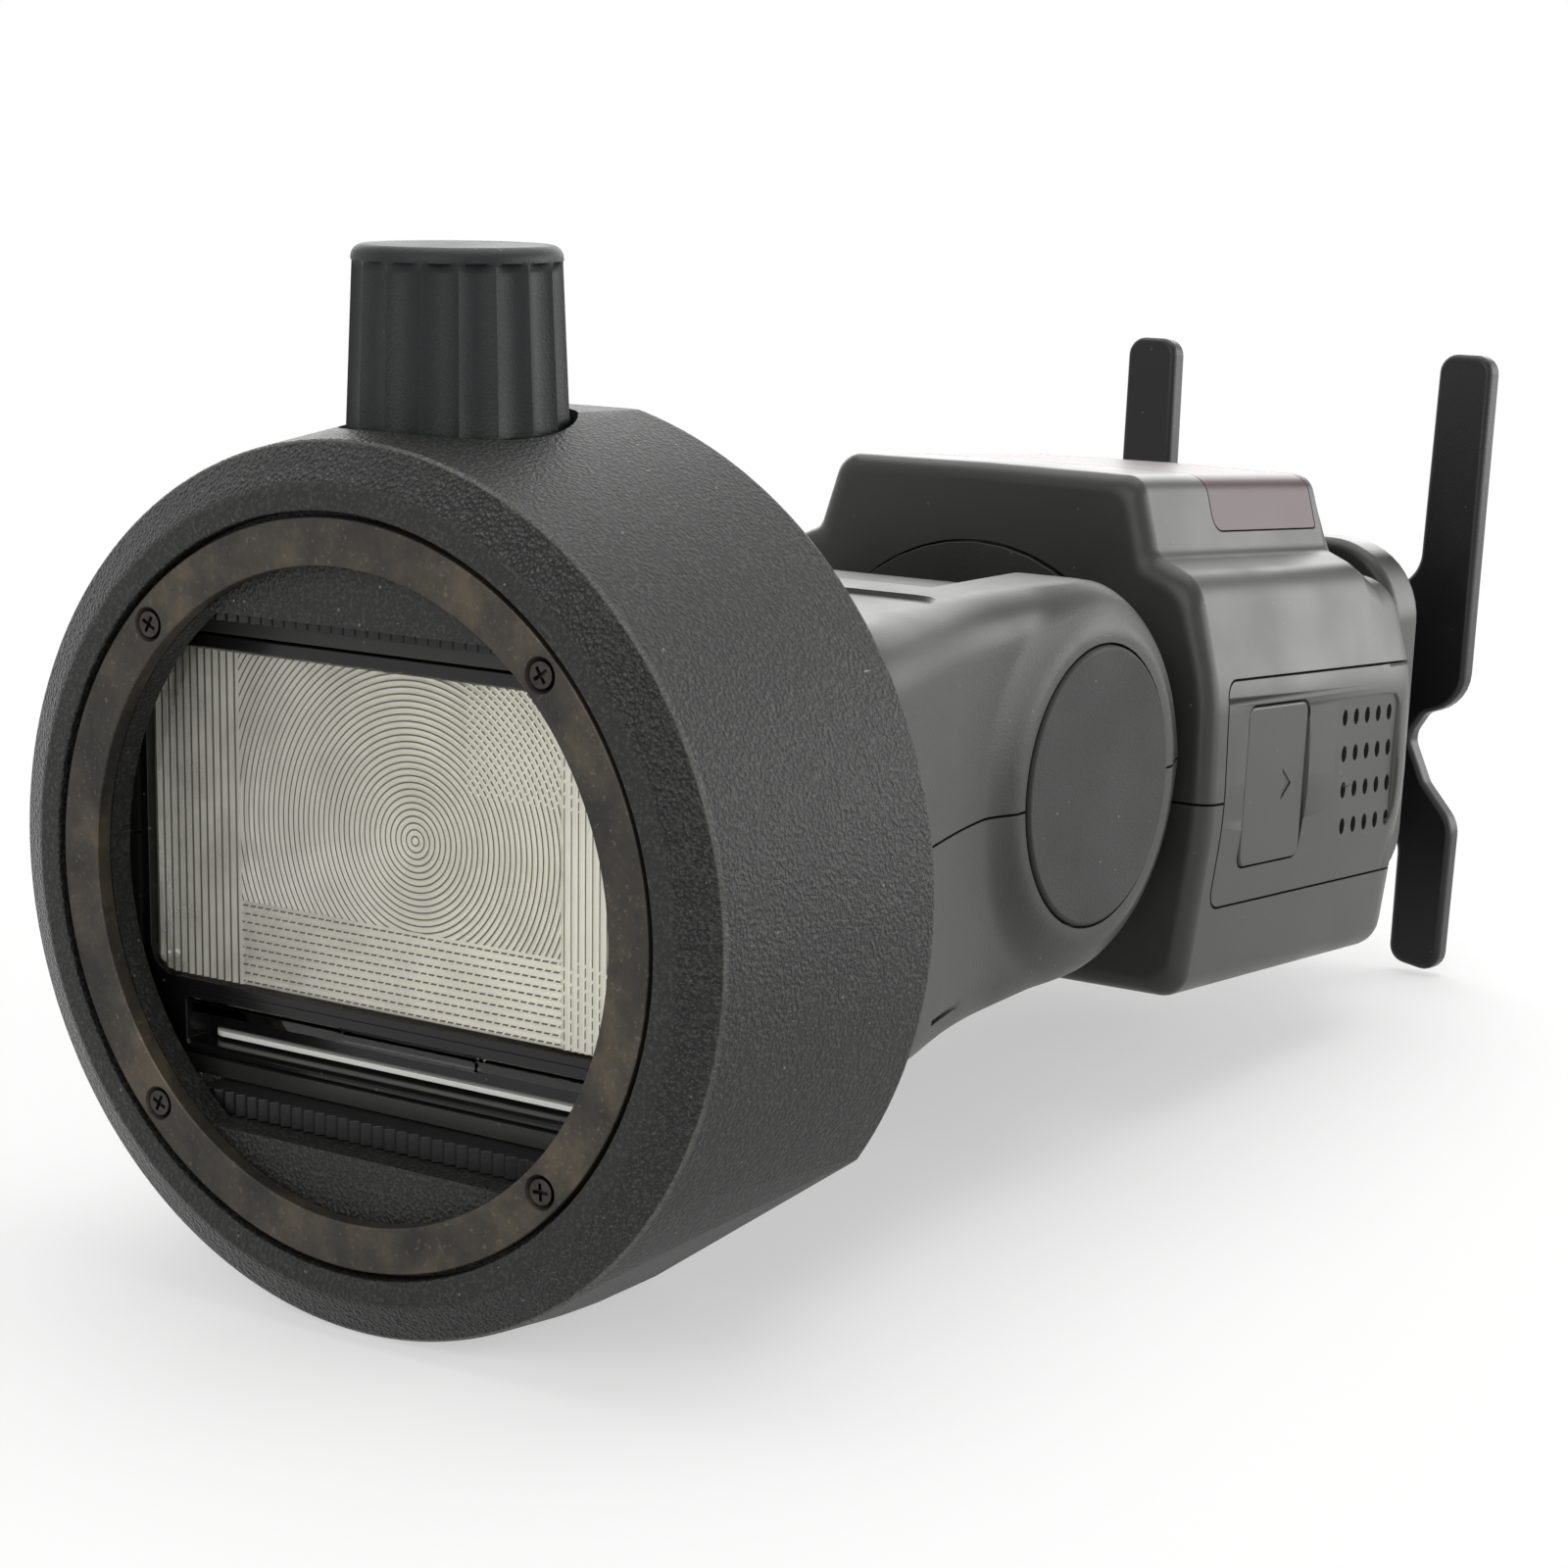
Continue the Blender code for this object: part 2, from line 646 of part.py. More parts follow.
def head_form(name, wall=0.0):
    """The head's skin, or its hollow with a wall; round about the tilt hinge at the back."""
    radius = EAR_R - wall
    ear_top, ear_bottom = HINGE_Z + radius, HINGE_Z - radius
    front = HEAD_FRONT - wall
    sections = []
    for x in (front, HEAD_TAPER_START, 45, 55, 65, HEAD_TAPER_END):
        share = max(0.0, (x - 55) / (HINGE_X - 55))
        low, high = HEAD_BOTTOM + wall, HEAD_TOP - wall
        sections.append(head_section(x, low + (ear_bottom - low) * share,
                                     high + (ear_top - high) * share, wall))
    for degrees in range(0, 76, 12):
        angle = math.radians(degrees)
        rise = radius * math.cos(angle)
        sections.append(head_section(HINGE_X + radius * math.sin(angle), HINGE_Z - rise, HINGE_Z + rise,
                                     wall))
    return loft(name, sections)


def head_shells():
    """The two moulded halves of the head, which meet at a seam on its sides."""
    hinge = (HINGE_X, 0, HINGE_Z)
    wide = 60
    slot = TONGUE_HALF + 0.8
    for name, low, high in (("head_top_shell", HEAD_SEAM_Z + SEAM, wide),
                            ("head_bottom_shell", -wide, HEAD_SEAM_Z - SEAM)):
        shell = head_form(name)
        seat(shell, HEAD, "shell_plastic", hinge)
        for side, sign in (("left", 1), ("right", -1)):
            ends = sorted((sign * (HEAD_HALF_REAR - HEAD_WALL - 2), sign * BOSS_HALF))
            radii = (EAR_R + 3, BOSS_R) if sign > 0 else (BOSS_R, EAR_R + 3)
            join(shell, HEAD, cone("boss_%s_%s" % (side, name), "Y", hinge, *ends, *radii, 40))
        cut(shell, HEAD, head_form("hollow_" + name, HEAD_WALL))
        keep(shell, HEAD, plate("ear_trim_" + name, "Y", -wide, wide, ear_outline(EAR_R + 0.05)))
        for side, sign in (("left", 1), ("right", -1)):
            ends = sorted((sign * (BOSS_HALF - CAP_THICK), sign * (BOSS_HALF + 3)))
            cut(shell, HEAD, cylinder("cap_seat_%s_%s" % (side, name), "Y", hinge, *ends, CAP_R + GAP, 40))
        cut(shell, HEAD, box("neck_way_" + name, (HINGE_X - TONGUE_R - 0.8, HINGE_X + 40), (-slot, slot),
                             (-wide, wide)))
        keep(shell, HEAD, box("half_" + name, (-10, HINGE_X + 40), (-wide, wide), (low, high)))


def ear_outline(radius):
    """Side view that the hinge bosses are trimmed to: the head's length, then a half circle."""
    points = [(HEAD_FRONT - 5, HINGE_Z - radius - 4), (HINGE_X - 24, HINGE_Z - radius - 4),
              (HINGE_X - 12, HINGE_Z - radius)]
    for k in range(19):
        angle = math.radians(-90 + 10 * k)
        points.append((HINGE_X + radius * math.cos(angle), HINGE_Z + radius * math.sin(angle)))
    return points + [(HINGE_X - 12, HINGE_Z + radius), (HINGE_X - 24, HINGE_Z + radius + 4),
                     (HEAD_FRONT - 5, HINGE_Z + radius + 4)]


def hinge_caps():
    """Soft round caps that cover the hinge screws on both sides."""
    hinge = (HINGE_X, 0, HINGE_Z)
    for name, sign in (("hinge_cap_left", 1), ("hinge_cap_right", -1)):
        inner = sign * (BOSS_HALF - CAP_THICK + 0.1)
        outer = sign * (BOSS_HALF + CAP_PROUD)
        cap = cylinder(name, "Y", hinge, min(inner, outer), max(inner, outer), CAP_R, 40)
        seat(bevel(cap, 0.5, 1), HEAD, "black_rubber", hinge)


def head_front():
    """Lens frame with its tray, the lens, the wide panel and the bounce card."""
    hinge = (HINGE_X, 0, HINGE_Z)
    back = HEAD_FRONT + 0.2 + FRAME_DEPTH
    inner_half = HEAD_HALF_FRONT - HEAD_WALL - 0.35
    inner_top = HEAD_TOP - HEAD_WALL - GAP
    inner_bottom = HEAD_BOTTOM + HEAD_WALL + GAP
    frame = plate("lens_frame", "X", HEAD_FRONT + 0.2, back,
                  fillet(rounded((-inner_half, inner_half), (inner_bottom, inner_top),
                                 HEAD_CORNER - HEAD_WALL)))
    seat(frame, HEAD, "shell_plastic", hinge)
    tray_half = PANEL_HALF + TRAY_WALL
    join(frame, HEAD, plate("tray", "X", back - 1, TRAY_END,
                            fillet(rounded((-tray_half, tray_half), (TRAY_BOTTOM, TRAY_TOP), 1.6), 2)))
    cut(frame, HEAD,
        plate("lens_hole", "X", HEAD_FRONT - 1, back + 1,
              fillet(rounded((-LENS_HALF - GAP, LENS_HALF + GAP), (LENS_BOTTOM - GAP, LENS_TOP + GAP), 3))),
        box("panel_slot", (HEAD_FRONT - 1, TRAY_END - TRAY_WALL), (-PANEL_HALF - GAP, PANEL_HALF + GAP),
            (PANEL_Z - PANEL_THICK / 2 - GAP, PANEL_Z + PANEL_THICK / 2 + GAP)),
        box("card_slot", (HEAD_FRONT - 1, TRAY_END - TRAY_WALL), (-CARD_HALF - GAP, CARD_HALF + GAP),
            (CARD_Z - CARD_THICK / 2 - GAP, CARD_Z + CARD_THICK / 2 + GAP)))
    lens = plate("fresnel_lens", "X", LENS_FRONT, LENS_FRONT + LENS_THICK,
                 fillet(rounded((-LENS_HALF, LENS_HALF), (LENS_BOTTOM, LENS_TOP), 2.7)))
    seat(lens, HEAD, "clear_plastic", hinge)
    panel = plate("wide_panel", "Z", PANEL_Z - PANEL_THICK / 2, PANEL_Z + PANEL_THICK / 2,
                  fillet(rounded((PANEL_FRONT, PANEL_FRONT + PANEL_LENGTH), (-PANEL_HALF, PANEL_HALF), 1.5)))
    seat(panel, HEAD, "clear_plastic", (PANEL_FRONT, 0, PANEL_Z))
    card = plate("bounce_card", "Z", CARD_Z - CARD_THICK / 2, CARD_Z + CARD_THICK / 2,
                 fillet(rounded((CARD_FRONT, CARD_FRONT + CARD_LENGTH), (-CARD_HALF, CARD_HALF), 2)))
    seat(card, HEAD, "white_card", (CARD_FRONT, 0, CARD_Z))


def trough(offset, steps=8):
    """The reflector's parabola in the (x, z) plane, moved outwards by an offset."""
    focal = REFLECTOR_HALF_Z ** 2 / (4 * REFLECTOR_DEPTH)
    back = REFLECTOR_FRONT + REFLECTOR_DEPTH
    points = []
    for k in range(-steps, steps + 1):
        z = REFLECTOR_HALF_Z * k / steps
        depth = z * z / (4 * focal)
        slope = z / (2 * focal)
        length = math.hypot(1, slope)
        points.append((back - depth + offset / length, LAMP_Z + z + offset * slope / length))
    return points


def zoom_unit():
    """Reflector, tube and carriage that a small motor moves behind the lens."""
    pivot = (REFLECTOR_FRONT, 0, LAMP_Z)
    back = REFLECTOR_FRONT + REFLECTOR_DEPTH
    focus = back - REFLECTOR_HALF_Z ** 2 / (4 * REFLECTOR_DEPTH) - 1
    reflector = plate("reflector", "Y", -REFLECTOR_HALF_Y - REFLECTOR_WALL,
                      REFLECTOR_HALF_Y + REFLECTOR_WALL, trough(REFLECTOR_WALL))
    seat(reflector, HEAD, "mirror_metal", pivot, smooth=30)
    hollow = trough(0)
    hollow = [(REFLECTOR_FRONT - 3, hollow[0][1])] + hollow + [(REFLECTOR_FRONT - 3, hollow[-1][1])]
    cut(reflector, HEAD,
        plate("trough_hollow", "Y", -REFLECTOR_HALF_Y, REFLECTOR_HALF_Y, hollow),
        cylinder("tube_holes", "Y", (focus, 0, LAMP_Z), -40, 40, TUBE_R + GAP, 16))
    tube = cylinder("flash_tube", "Y", (focus, 0, LAMP_Z), -TUBE_HALF, TUBE_HALF, TUBE_R, 16)
    seat(bevel(tube, 0.8, 1), HEAD, "glass", pivot)
    start = back + REFLECTOR_WALL + GAP
    carriage = box("zoom_carriage", (start, start + CARRIAGE_DEPTH), (-14, 14), (LAMP_Z - 9, SCREW_Z - 5))
    seat(carriage, HEAD, "shell_plastic", pivot)
    join(carriage, HEAD, box("carriage_arm", (start, start + CARRIAGE_DEPTH), (-3.2, 3.2),
                             (SCREW_Z - 6, SCREW_Z + 2)))
    cut(carriage, HEAD, cylinder("screw_way", "X", (0, 0, SCREW_Z), 20, 80, ZOOM_SCREW_R + GAP, 16))
    screw_end = start + CARRIAGE_DEPTH + ZOOM_TRAVEL + 2.6
    screw = cylinder("zoom_screw", "X", (0, 0, SCREW_Z), back - 8, screw_end - 0.4, ZOOM_SCREW_R, 16)
    seat(screw, HEAD, "steel", (back, 0, SCREW_Z))
    motor_y = 24
    motor_z = SCREW_Z - 4
    motor = cylinder("zoom_motor", "X", (0, motor_y, motor_z), screw_end - 12, screw_end - 1.4, MOTOR_R, 32)
    seat(motor, HEAD, "steel", (screw_end, motor_y, motor_z))
    join(motor, HEAD, plate("motor_bracket", "X", screw_end - 1.6, screw_end,
                            fillet(rounded((-4, motor_y + MOTOR_R), (motor_z - MOTOR_R, SCREW_Z + 1.8), 1.6), 3)))
    cut(motor, HEAD, cylinder("screw_bearing", "X", (0, 0, SCREW_Z), screw_end - 3, screw_end + 2,
                              ZOOM_SCREW_R + GAP, 16))


def hinge_bracket():
    """A steel fork inside the head that turns on the tilt axle."""
    hinge = (HINGE_X, 0, HINGE_Z)
    sheet = 1.6
    front = HINGE_X - TONGUE_R - 3.4
    inner = TONGUE_HALF + 0.6
    outer = inner + sheet
    half = TONGUE_R - 4
    lobe_r = AXLE_R + 4
    bracket = box("hinge_bracket", (front, front + sheet), (-outer, outer), (HINGE_Z - half, HINGE_Z + half))
    seat(bracket, HEAD, "steel", hinge, smooth=0)
    lobe = [(front + 0.5, HINGE_Z - lobe_r)]
    for k in range(10):
        angle = math.radians(-90 + 20 * k)
        lobe.append((HINGE_X + lobe_r * math.cos(angle), HINGE_Z + lobe_r * math.sin(angle)))
    lobe.append((front + 0.5, HINGE_Z + lobe_r))
    for side, low, high in (("left", inner, outer), ("right", -outer, -inner)):
        join(bracket, HEAD, plate("fork_" + side, "Y", low, high, lobe))
    cut(bracket, HEAD, cylinder("fork_bore", "Y", hinge, -40, 40, AXLE_R + GAP, 20))
    axle = cylinder("tilt_axle", "Y", hinge, -AXLE_HALF, AXLE_HALF, AXLE_R, 20)
    seat(bevel(axle, 0.5, 1), HEAD, "steel", hinge)


def neck():
    """The pan turret: a round tongue in the head's slot, on a disc let into the body's end."""
    ring_front = BODY_FRONT + BODY_WALL + GAP
    turret_end = ring_front + PAN_RING_THICK + TURRET_PAST_RING
    tongue_end = BODY_FRONT - BASE_GAP
    base_angle = math.asin(TONGUE_BASE / TONGUE_R)
    profile = [(tongue_end, -TONGUE_BASE), (tongue_end, TONGUE_BASE)]
    steps = 18
    for k in range(steps + 1):
        angle = base_angle + 2 * (math.pi - base_angle) * k / steps
        profile.append((TONGUE_R * math.cos(angle), TONGUE_R * math.sin(angle)))
    yoke = plate("neck_yoke", "Y", -TONGUE_HALF, TONGUE_HALF, profile[::-1])
    seat(yoke, BODY, "shell_plastic")
    join(yoke, BODY,
         cylinder("turret_disc", "X", (0, 0, 0), BODY_FRONT - BASE_PROUD, BODY_FRONT + BASE_SUNK, BASE_R, 40),
         cylinder("turret_tube", "X", (0, 0, 0), tongue_end - 1, turret_end, TURRET_R, 32))
    cut(yoke, BODY,
        cylinder("yoke_bore", "Y", (0, 0, 0), -40, 40, AXLE_R + GAP, 20),
        cylinder("cable_way", "X", (0, 0, 0), 8, turret_end + 2, TURRET_BORE, 20))
    ring = plate("pan_ring", "X", ring_front, ring_front + PAN_RING_THICK, circle((0, 0), PAN_RING_R, 32),
                 circle((0, 0), TURRET_R + GAP, 32))
    seat(ring, BODY, "steel")


def body_section(x, inset, drop):
    """The body's outline across X: a rounded box with a raised hump on its front, which faces up.

    The inset moves the outline inwards; the drop, from 0 to 1, brings the hump down to the shoulder.
    """
    hump = HUMP_Z - HUMP_DROP * drop - inset
    shoulder = SHOULDER_Z - 1.2 * drop - inset
    corners = [
        (0, BODY_BACK_Z + inset, 0), (BODY_HALF - 2.4 - inset, BODY_BACK_Z + inset, 3.6),
        (BODY_HALF - inset, -6, 60), (BODY_HALF - 0.4 - inset, 9, 22), (BODY_HALF - 4.1 - inset, shoulder, 6),
        (HUMP_HALF + 2.8 - inset, shoulder + 2.6 - 2.2 * drop, 2.2),
        (HUMP_HALF - inset, hump, 3.2 - 2.2 * drop), (0, hump + 0.2, 0)]
    right = open_fillet(corners)
    outline = right + [(-y, z) for y, z in right[-2:0:-1]]
    return [(x, y, z) for y, z in outline]


def open_fillet(corners, segments=3):
    """Like fillet, for a line that doesn't close; a corner of radius 0 stays one point."""
    outline = [corners[0][:2]]
    for index in range(1, len(corners) - 1):
        trio = [corners[index - 1], corners[index], corners[index + 1]]
        rounded_trio = fillet([(*trio[0][:2], 0), trio[1], (*trio[2][:2], 0)], segments)
        outline += rounded_trio[1:-1]
    outline.append(corners[-1][:2])
    return outline


def body_form(name, wall=0.0):
    """The body's skin, or its hollow with a wall."""
    front, end = BODY_FRONT + wall, BODY_END - wall
    front_round, end_round = max(FRONT_ROUND - wall, 0.8), END_ROUND - wall
    hump_end = HUMP_END - 0.8 * wall
    turns = [math.radians(a) for a in (0, 30, 60, 90)]
    sections = [body_section(front + front_round * (1 - math.cos(a)), wall + front_round * (1 - math.sin(a)), 0)
                for a in turns]
    sections += [body_section(hump_end + length * HUMP_SLOPE, wall, length) for length in (0, 0.4, 1)]
    sections += [body_section(end - end_round * (1 - math.cos(a)), wall + 0.75 * end_round * (1 - math.sin(a)), 1)
                 for a in reversed(turns)]
    return loft(name, sections)


def window_skin(name, grow):
    """The part of the hump that the red window covers, grown on all sides."""
    return box(name, (WINDOW_X0 - grow, WINDOW_X1 + grow), (-40, 40), (WINDOW_LOW - grow, 50))


def body_shells():
    """Front and back halves of the body, with openings for window, battery, display and keys."""
    wide = 60
    for name, low, high in (("front_shell", BODY_SEAM_Z + SEAM, wide), ("rear_shell", -wide, BODY_SEAM_Z - SEAM)):
        shell = body_form(name)
        seat(shell, BODY, "body_plastic")
        cut(shell, BODY,
            body_form("hollow_" + name, BODY_WALL),
            cylinder("turret_recess_" + name, "X", (0, 0, 0), BODY_FRONT - 3, BODY_FRONT + BASE_SUNK + GAP,
                     BASE_R + GAP, 40),
            cylinder("turret_hole_" + name, "X", (0, 0, 0), BODY_FRONT - 3, BODY_FRONT + 6,
                     TURRET_R + GAP, 32),
            box("battery_mouth_" + name, (BATTERY_X0 - GAP, BODY_END + 5), (-wide, PACK_SKIN - BODY_HALF + GAP),
                (BATTERY_BOTTOM - GAP, BATTERY_TOP + GAP)))
        if name == "front_shell":
            cut(shell, BODY, window_skin("window_hole", GAP))
        else:
            cut(shell, BODY, *panel_holes(), port_outline("port_pocket", PORT_DEPTH + 0.15, 0.2))
        keep(shell, BODY, box("half_" + name, (0, BODY_END + 10), (-wide, wide), (low, high)))


def af_window():
    """The red window that wraps over the hump, as thick as the wall it closes."""
    window = body_form("af_window")
    seat(window, BODY, "red_window")
    cut(window, BODY, body_form("window_hollow", BODY_WALL))
    keep(window, BODY, window_skin("window_part", 0))


def battery():
    """The side-loading pack, whose outer face is flush with the body, and its push latch."""
    face = body_form("battery_pack")
    seat(face, BODY, "body_plastic", (BATTERY_X0, 0, 0))
    keep(face, BODY, box("battery_face", (BATTERY_X0, BODY_END + 5), (-60, PACK_SKIN - BODY_HALF),
                         (BATTERY_BOTTOM, BATTERY_TOP)))
    join(face, BODY, box("battery_cells", (BATTERY_X0 + 1.6, BODY_END - 7),
                         (PACK_SKIN - BODY_HALF - GAP, BATTERY_INNER),
                         (BATTERY_BOTTOM + 1.2, BATTERY_TOP - 1.2)))
    latch_outline = fillet(rounded((RELEASE_X0, RELEASE_X1), (RELEASE_Z0, RELEASE_Z1), 1.6), 4)
    hole_outline = fillet(rounded((RELEASE_X0 - 0.25, RELEASE_X1 + 0.25),
                                  (RELEASE_Z0 - 0.25, RELEASE_Z1 + 0.25), 1.85), 4)
    floor = LATCH_SUNK - BODY_HALF
    cut(face, BODY, plate("latch_hole", "Y", -60, floor + RELEASE_DEPTH + 1.2, hole_outline))
    latch = plate("battery_release", "Y", floor, floor + RELEASE_DEPTH, latch_outline)
    seat(bevel(latch, 0.35, 1), BODY, "body_plastic", (RELEASE_X0, floor, 0))


# Controls on the back: name, middle along X, middle along Y, half sizes and corner radius.
KEYS = [("soft_key_1", 61.5, 19.5, 1.9, 3.9, 1.2), ("soft_key_2", 61.5, 6.5, 1.9, 3.9, 1.2),
        ("soft_key_3", 61.5, -6.5, 1.9, 3.9, 1.2), ("soft_key_4", 61.5, -19.5, 1.9, 3.9, 1.2),
        ("mode_key", 69.5, 21.5, 2.6, 3.6, 2.2), ("test_key", 69.5, -21.5, 2.8, 2.8, 2.7)]
KEY_TOP = BODY_BACK_Z + BODY_WALL - 0.1
KEY_PROUD = 0.9
DISPLAY_X = (31.0, 57.0)
DISPLAY_HALF = 24.0
DIAL_X = 73.6
DIAL_R = 9.5
SET_R = 4.2
SWITCH_X = 80.8
SWITCH_Y = 21.5


def key_outline(key, grow=0.0):
    name, x, y, half_x, half_y, radius = key
    return fillet(rounded((x - half_x - grow, x + half_x + grow), (y - half_y - grow, y + half_y + grow),
                          radius + grow), 3)


def panel_holes():
    """Openings in the back wall for the display and each control."""
    low, high = BODY_BACK_Z - 3, BODY_BACK_Z + BODY_WALL + 2
    holes = [plate("display_hole", "Z", low, high,
                   fillet(rounded((DISPLAY_X[0] - GAP, DISPLAY_X[1] + GAP),
                                  (-DISPLAY_HALF - GAP, DISPLAY_HALF + GAP), 2.3)))]
    holes += [plate("hole_" + key[0], "Z", low, high, key_outline(key, 0.25)) for key in KEYS]
    holes.append(cylinder("dial_hole", "Z", (DIAL_X, 0, 0), low, high, DIAL_R + GAP, 32))
    holes.append(plate("switch_hole", "Z", low, high,
                       fillet(rounded((SWITCH_X - 2.3, SWITCH_X + 2.3), (SWITCH_Y - 5.8, SWITCH_Y + 5.8), 1.4), 3)))
    return holes


def controls():
    """Display, keys, dial and switch on the back, with the board that they press on."""
    window = plate("lcd_window", "Z", BODY_BACK_Z - 0.2, BODY_BACK_Z + BODY_WALL - 0.6,
                   fillet(rounded(DISPLAY_X, (-DISPLAY_HALF, DISPLAY_HALF), 2)))
    seat(bevel(window, 0.3, 1), BODY, "clear_plastic")
    inner = BODY_BACK_Z + BODY_WALL
    panel = box("lcd_panel", (DISPLAY_X[0] + 1.5, DISPLAY_X[1] - 1.5), (-DISPLAY_HALF + 1, DISPLAY_HALF - 1),
                (inner - 0.3, inner + 2.2))
    seat(panel, BODY, "display", smooth=0)
    for key in KEYS:
        name, x, y = key[:3]
        cap = plate(name, "Z", BODY_BACK_Z - KEY_PROUD, KEY_TOP, key_outline(key))
        seat(bevel(cap, 0.35, 1), BODY, "black_rubber", (x, y, BODY_BACK_Z))
    dial = plate("control_dial", "Z", BODY_BACK_Z - 1.1, KEY_TOP, circle((DIAL_X, 0), DIAL_R, 32),
                 circle((DIAL_X, 0), SET_R + GAP, 20))
    seat(bevel(dial, 0.5, 1), BODY, "body_plastic", (DIAL_X, 0, BODY_BACK_Z))
    centre = cylinder("set_key", "Z", (DIAL_X, 0, 0), BODY_BACK_Z - 1.2, KEY_TOP, SET_R, 20)
    seat(bevel(centre, 0.4, 1), BODY, "black_rubber", (DIAL_X, 0, BODY_BACK_Z))
    slider = plate("power_switch", "Z", BODY_BACK_Z - 1.0, KEY_TOP,
                   fillet(rounded((SWITCH_X - 2, SWITCH_X + 2), (SWITCH_Y - 5.5, SWITCH_Y + 0.5), 1.2), 3))
    seat(bevel(slider, 0.35, 1), BODY, "body_plastic", (SWITCH_X, SWITCH_Y, BODY_BACK_Z))
    board = box("panel_board", (DISPLAY_X[1] + 1, BODY_END - 4.4), (-27, 27), (inner + 0.7, inner + 2.1))
    seat(board, BODY, "circuit_board", smooth=0)


def inner_works():
    """Main capacitor in the hump, main board beside the battery, and the battery's contacts."""
    hump_inside = HUMP_Z - BODY_WALL
    radius = 10.0
    cap_z = hump_inside - GAP - radius
    cell = cylinder("main_capacitor", "X", (0, 0, cap_z), BODY_FRONT + 8, HUMP_END - 3, radius, 32)
    seat(bevel(cell, 1.0, 1), BODY, "black_rubber")
    board_y = (BATTERY_INNER + 6.0, BATTERY_INNER + 7.6)
    board = box("main_board", (BODY_FRONT + 6, BODY_END - 6), board_y, (BODY_BACK_Z + 8, SHOULDER_Z - 8.6))
    seat(board, BODY, "circuit_board", smooth=0)
    start, end = BATTERY_X0 + 18.3, BATTERY_X0 + 34.3
    low = BATTERY_BOTTOM + 8.5
    contacts = box("battery_contacts", (start, end), (BATTERY_INNER + GAP, board_y[0] - GAP), (low, low + 11))
    seat(contacts, BODY, "shell_plastic", smooth=0)
    pitch = 2.6
    for k in range(4):
        z = low + 1.6 + pitch * k
        join(contacts, BODY, box("contact_%d" % k, (start + 2, end - 2), (BATTERY_INNER + 0.1, board_y[0] - 0.2),
                                 (z, z + 0.8)))


def port_outline(name, depth, grow=0.0):
    return plate(name, "Y", BODY_HALF - depth, 50,
                 fillet(rounded((PORT_X[0] - grow, PORT_X[1] + grow), (PORT_Z[0] - grow, PORT_Z[1] + grow),
                                2.2 + grow), 3))


def port_cover():
    """Rubber flap over the sockets on the left side, let into the wall."""
    cover = body_form("port_cover")
    seat(cover, BODY, "black_rubber")
    keep(cover, BODY, port_outline("port_outline", PORT_DEPTH))


def foot():
    """Pedestal, lock wheel, steel foot, its locking pin and the contact block."""
    outline = fillet(rounded((-PEDESTAL_HALF, PEDESTAL_HALF), (PEDESTAL_BOTTOM, PEDESTAL_TOP), 11), 7)
    base = plate("foot_base", "X", BODY_END + GAP, PEDESTAL_END, outline)
    seat(bevel(base, 1.6, 2, 60), BODY, "body_plastic")
    wheel_front = PEDESTAL_END + GAP
    ridges = 30
    rows = []
    for x, inset, share in ((wheel_front, 0.5, 0.3), (wheel_front + 0.5, 0, 1),
                            (wheel_front + WHEEL_THICK - 0.5, 0, 1), (wheel_front + WHEEL_THICK, 0.5, 0.3)):
        ring = []
        for k in range(ridges * 2):
            angle = 2 * math.pi * k / (ridges * 2)
            r = WHEEL_R - inset - 0.6 * share * (k % 2)
            ring.append((x, r * math.cos(angle), r * math.sin(angle)))
        rows.append(ring)
    wheel = loft("lock_wheel", rows)
    seat(wheel, BODY, "shell_plastic", smooth=30)
    cut(wheel, BODY, plate("wheel_bore", "X", PEDESTAL_END - 1, PEDESTAL_END + 8, circle((0, 0), 9.4, 24)))
    foot_plate = plate("shoe_foot", "X", FOOT_X, FOOT_X + FOOT_THICK,
                       fillet(rounded((-FOOT_HALF, FOOT_HALF), (-9, 9), 1.2), 3))
    seat(foot_plate, BODY, "steel")
    join(foot_plate, BODY, plate("foot_neck", "X", PEDESTAL_END + GAP, FOOT_X + 0.5,
                                 fillet(rounded((-FOOT_NECK_HALF, FOOT_NECK_HALF), (-6.2, 6.2), 1), 3)))
    cut(foot_plate, BODY,
        cylinder("pin_way", "X", (0, 0, 4.2), 90, 120, 1.0 + GAP, 16),
        plate("contact_way", "X", FOOT_X - 4, FOOT_X + 5, fillet(rounded((-4.2, 4.2), (-4.4, 1.6), 0.8), 3)))
    pin = cylinder("lock_pin", "X", (0, 0, 4.2), PEDESTAL_END + 0.5, FOOT_X + FOOT_THICK - 0.2, 1.0, 16)
    seat(bevel(pin, 0.3, 1), BODY, "steel", (PEDESTAL_END, 0, 4.2))
    block = plate("shoe_contacts", "X", FOOT_X - 3.6, FOOT_X + FOOT_THICK - 0.3,
                  fillet(rounded((-3.9, 3.9), (-4.1, 1.3), 0.5), 3))
    seat(block, BODY, "gold_contact", smooth=0)


def stand_outline():
    """The stand seen along X: a hub with two long arms up and two short arms down."""
    right = [(0, 13.0, 0), (13.0, 13.0, 5), (ARM_IN, 21.5, 5), (ARM_IN + 0.6, STAND_TOP, 2.6),
             (ARM_OUT, STAND_TOP, 2.6), (ARM_OUT - 0.6, 8.0, 7), (ARM_IN + 3.2, 1.5, 3),
             (ARM_IN + 0.4, -3.2, 3), (ARM_IN + 3.4, -9.6, 3), (ARM_OUT - 0.4, -15.0, 5),
             (ARM_OUT - 0.8, STAND_BOTTOM, 2.6), (ARM_IN, STAND_BOTTOM + 1.4, 2.6), (ARM_IN, -18.5, 4),
             (14.0, -13.0, 5), (0, -13.0, 0)]
    half = open_fillet(right)
    return half + [(-y, z) for y, z in half[-2:0:-1]]


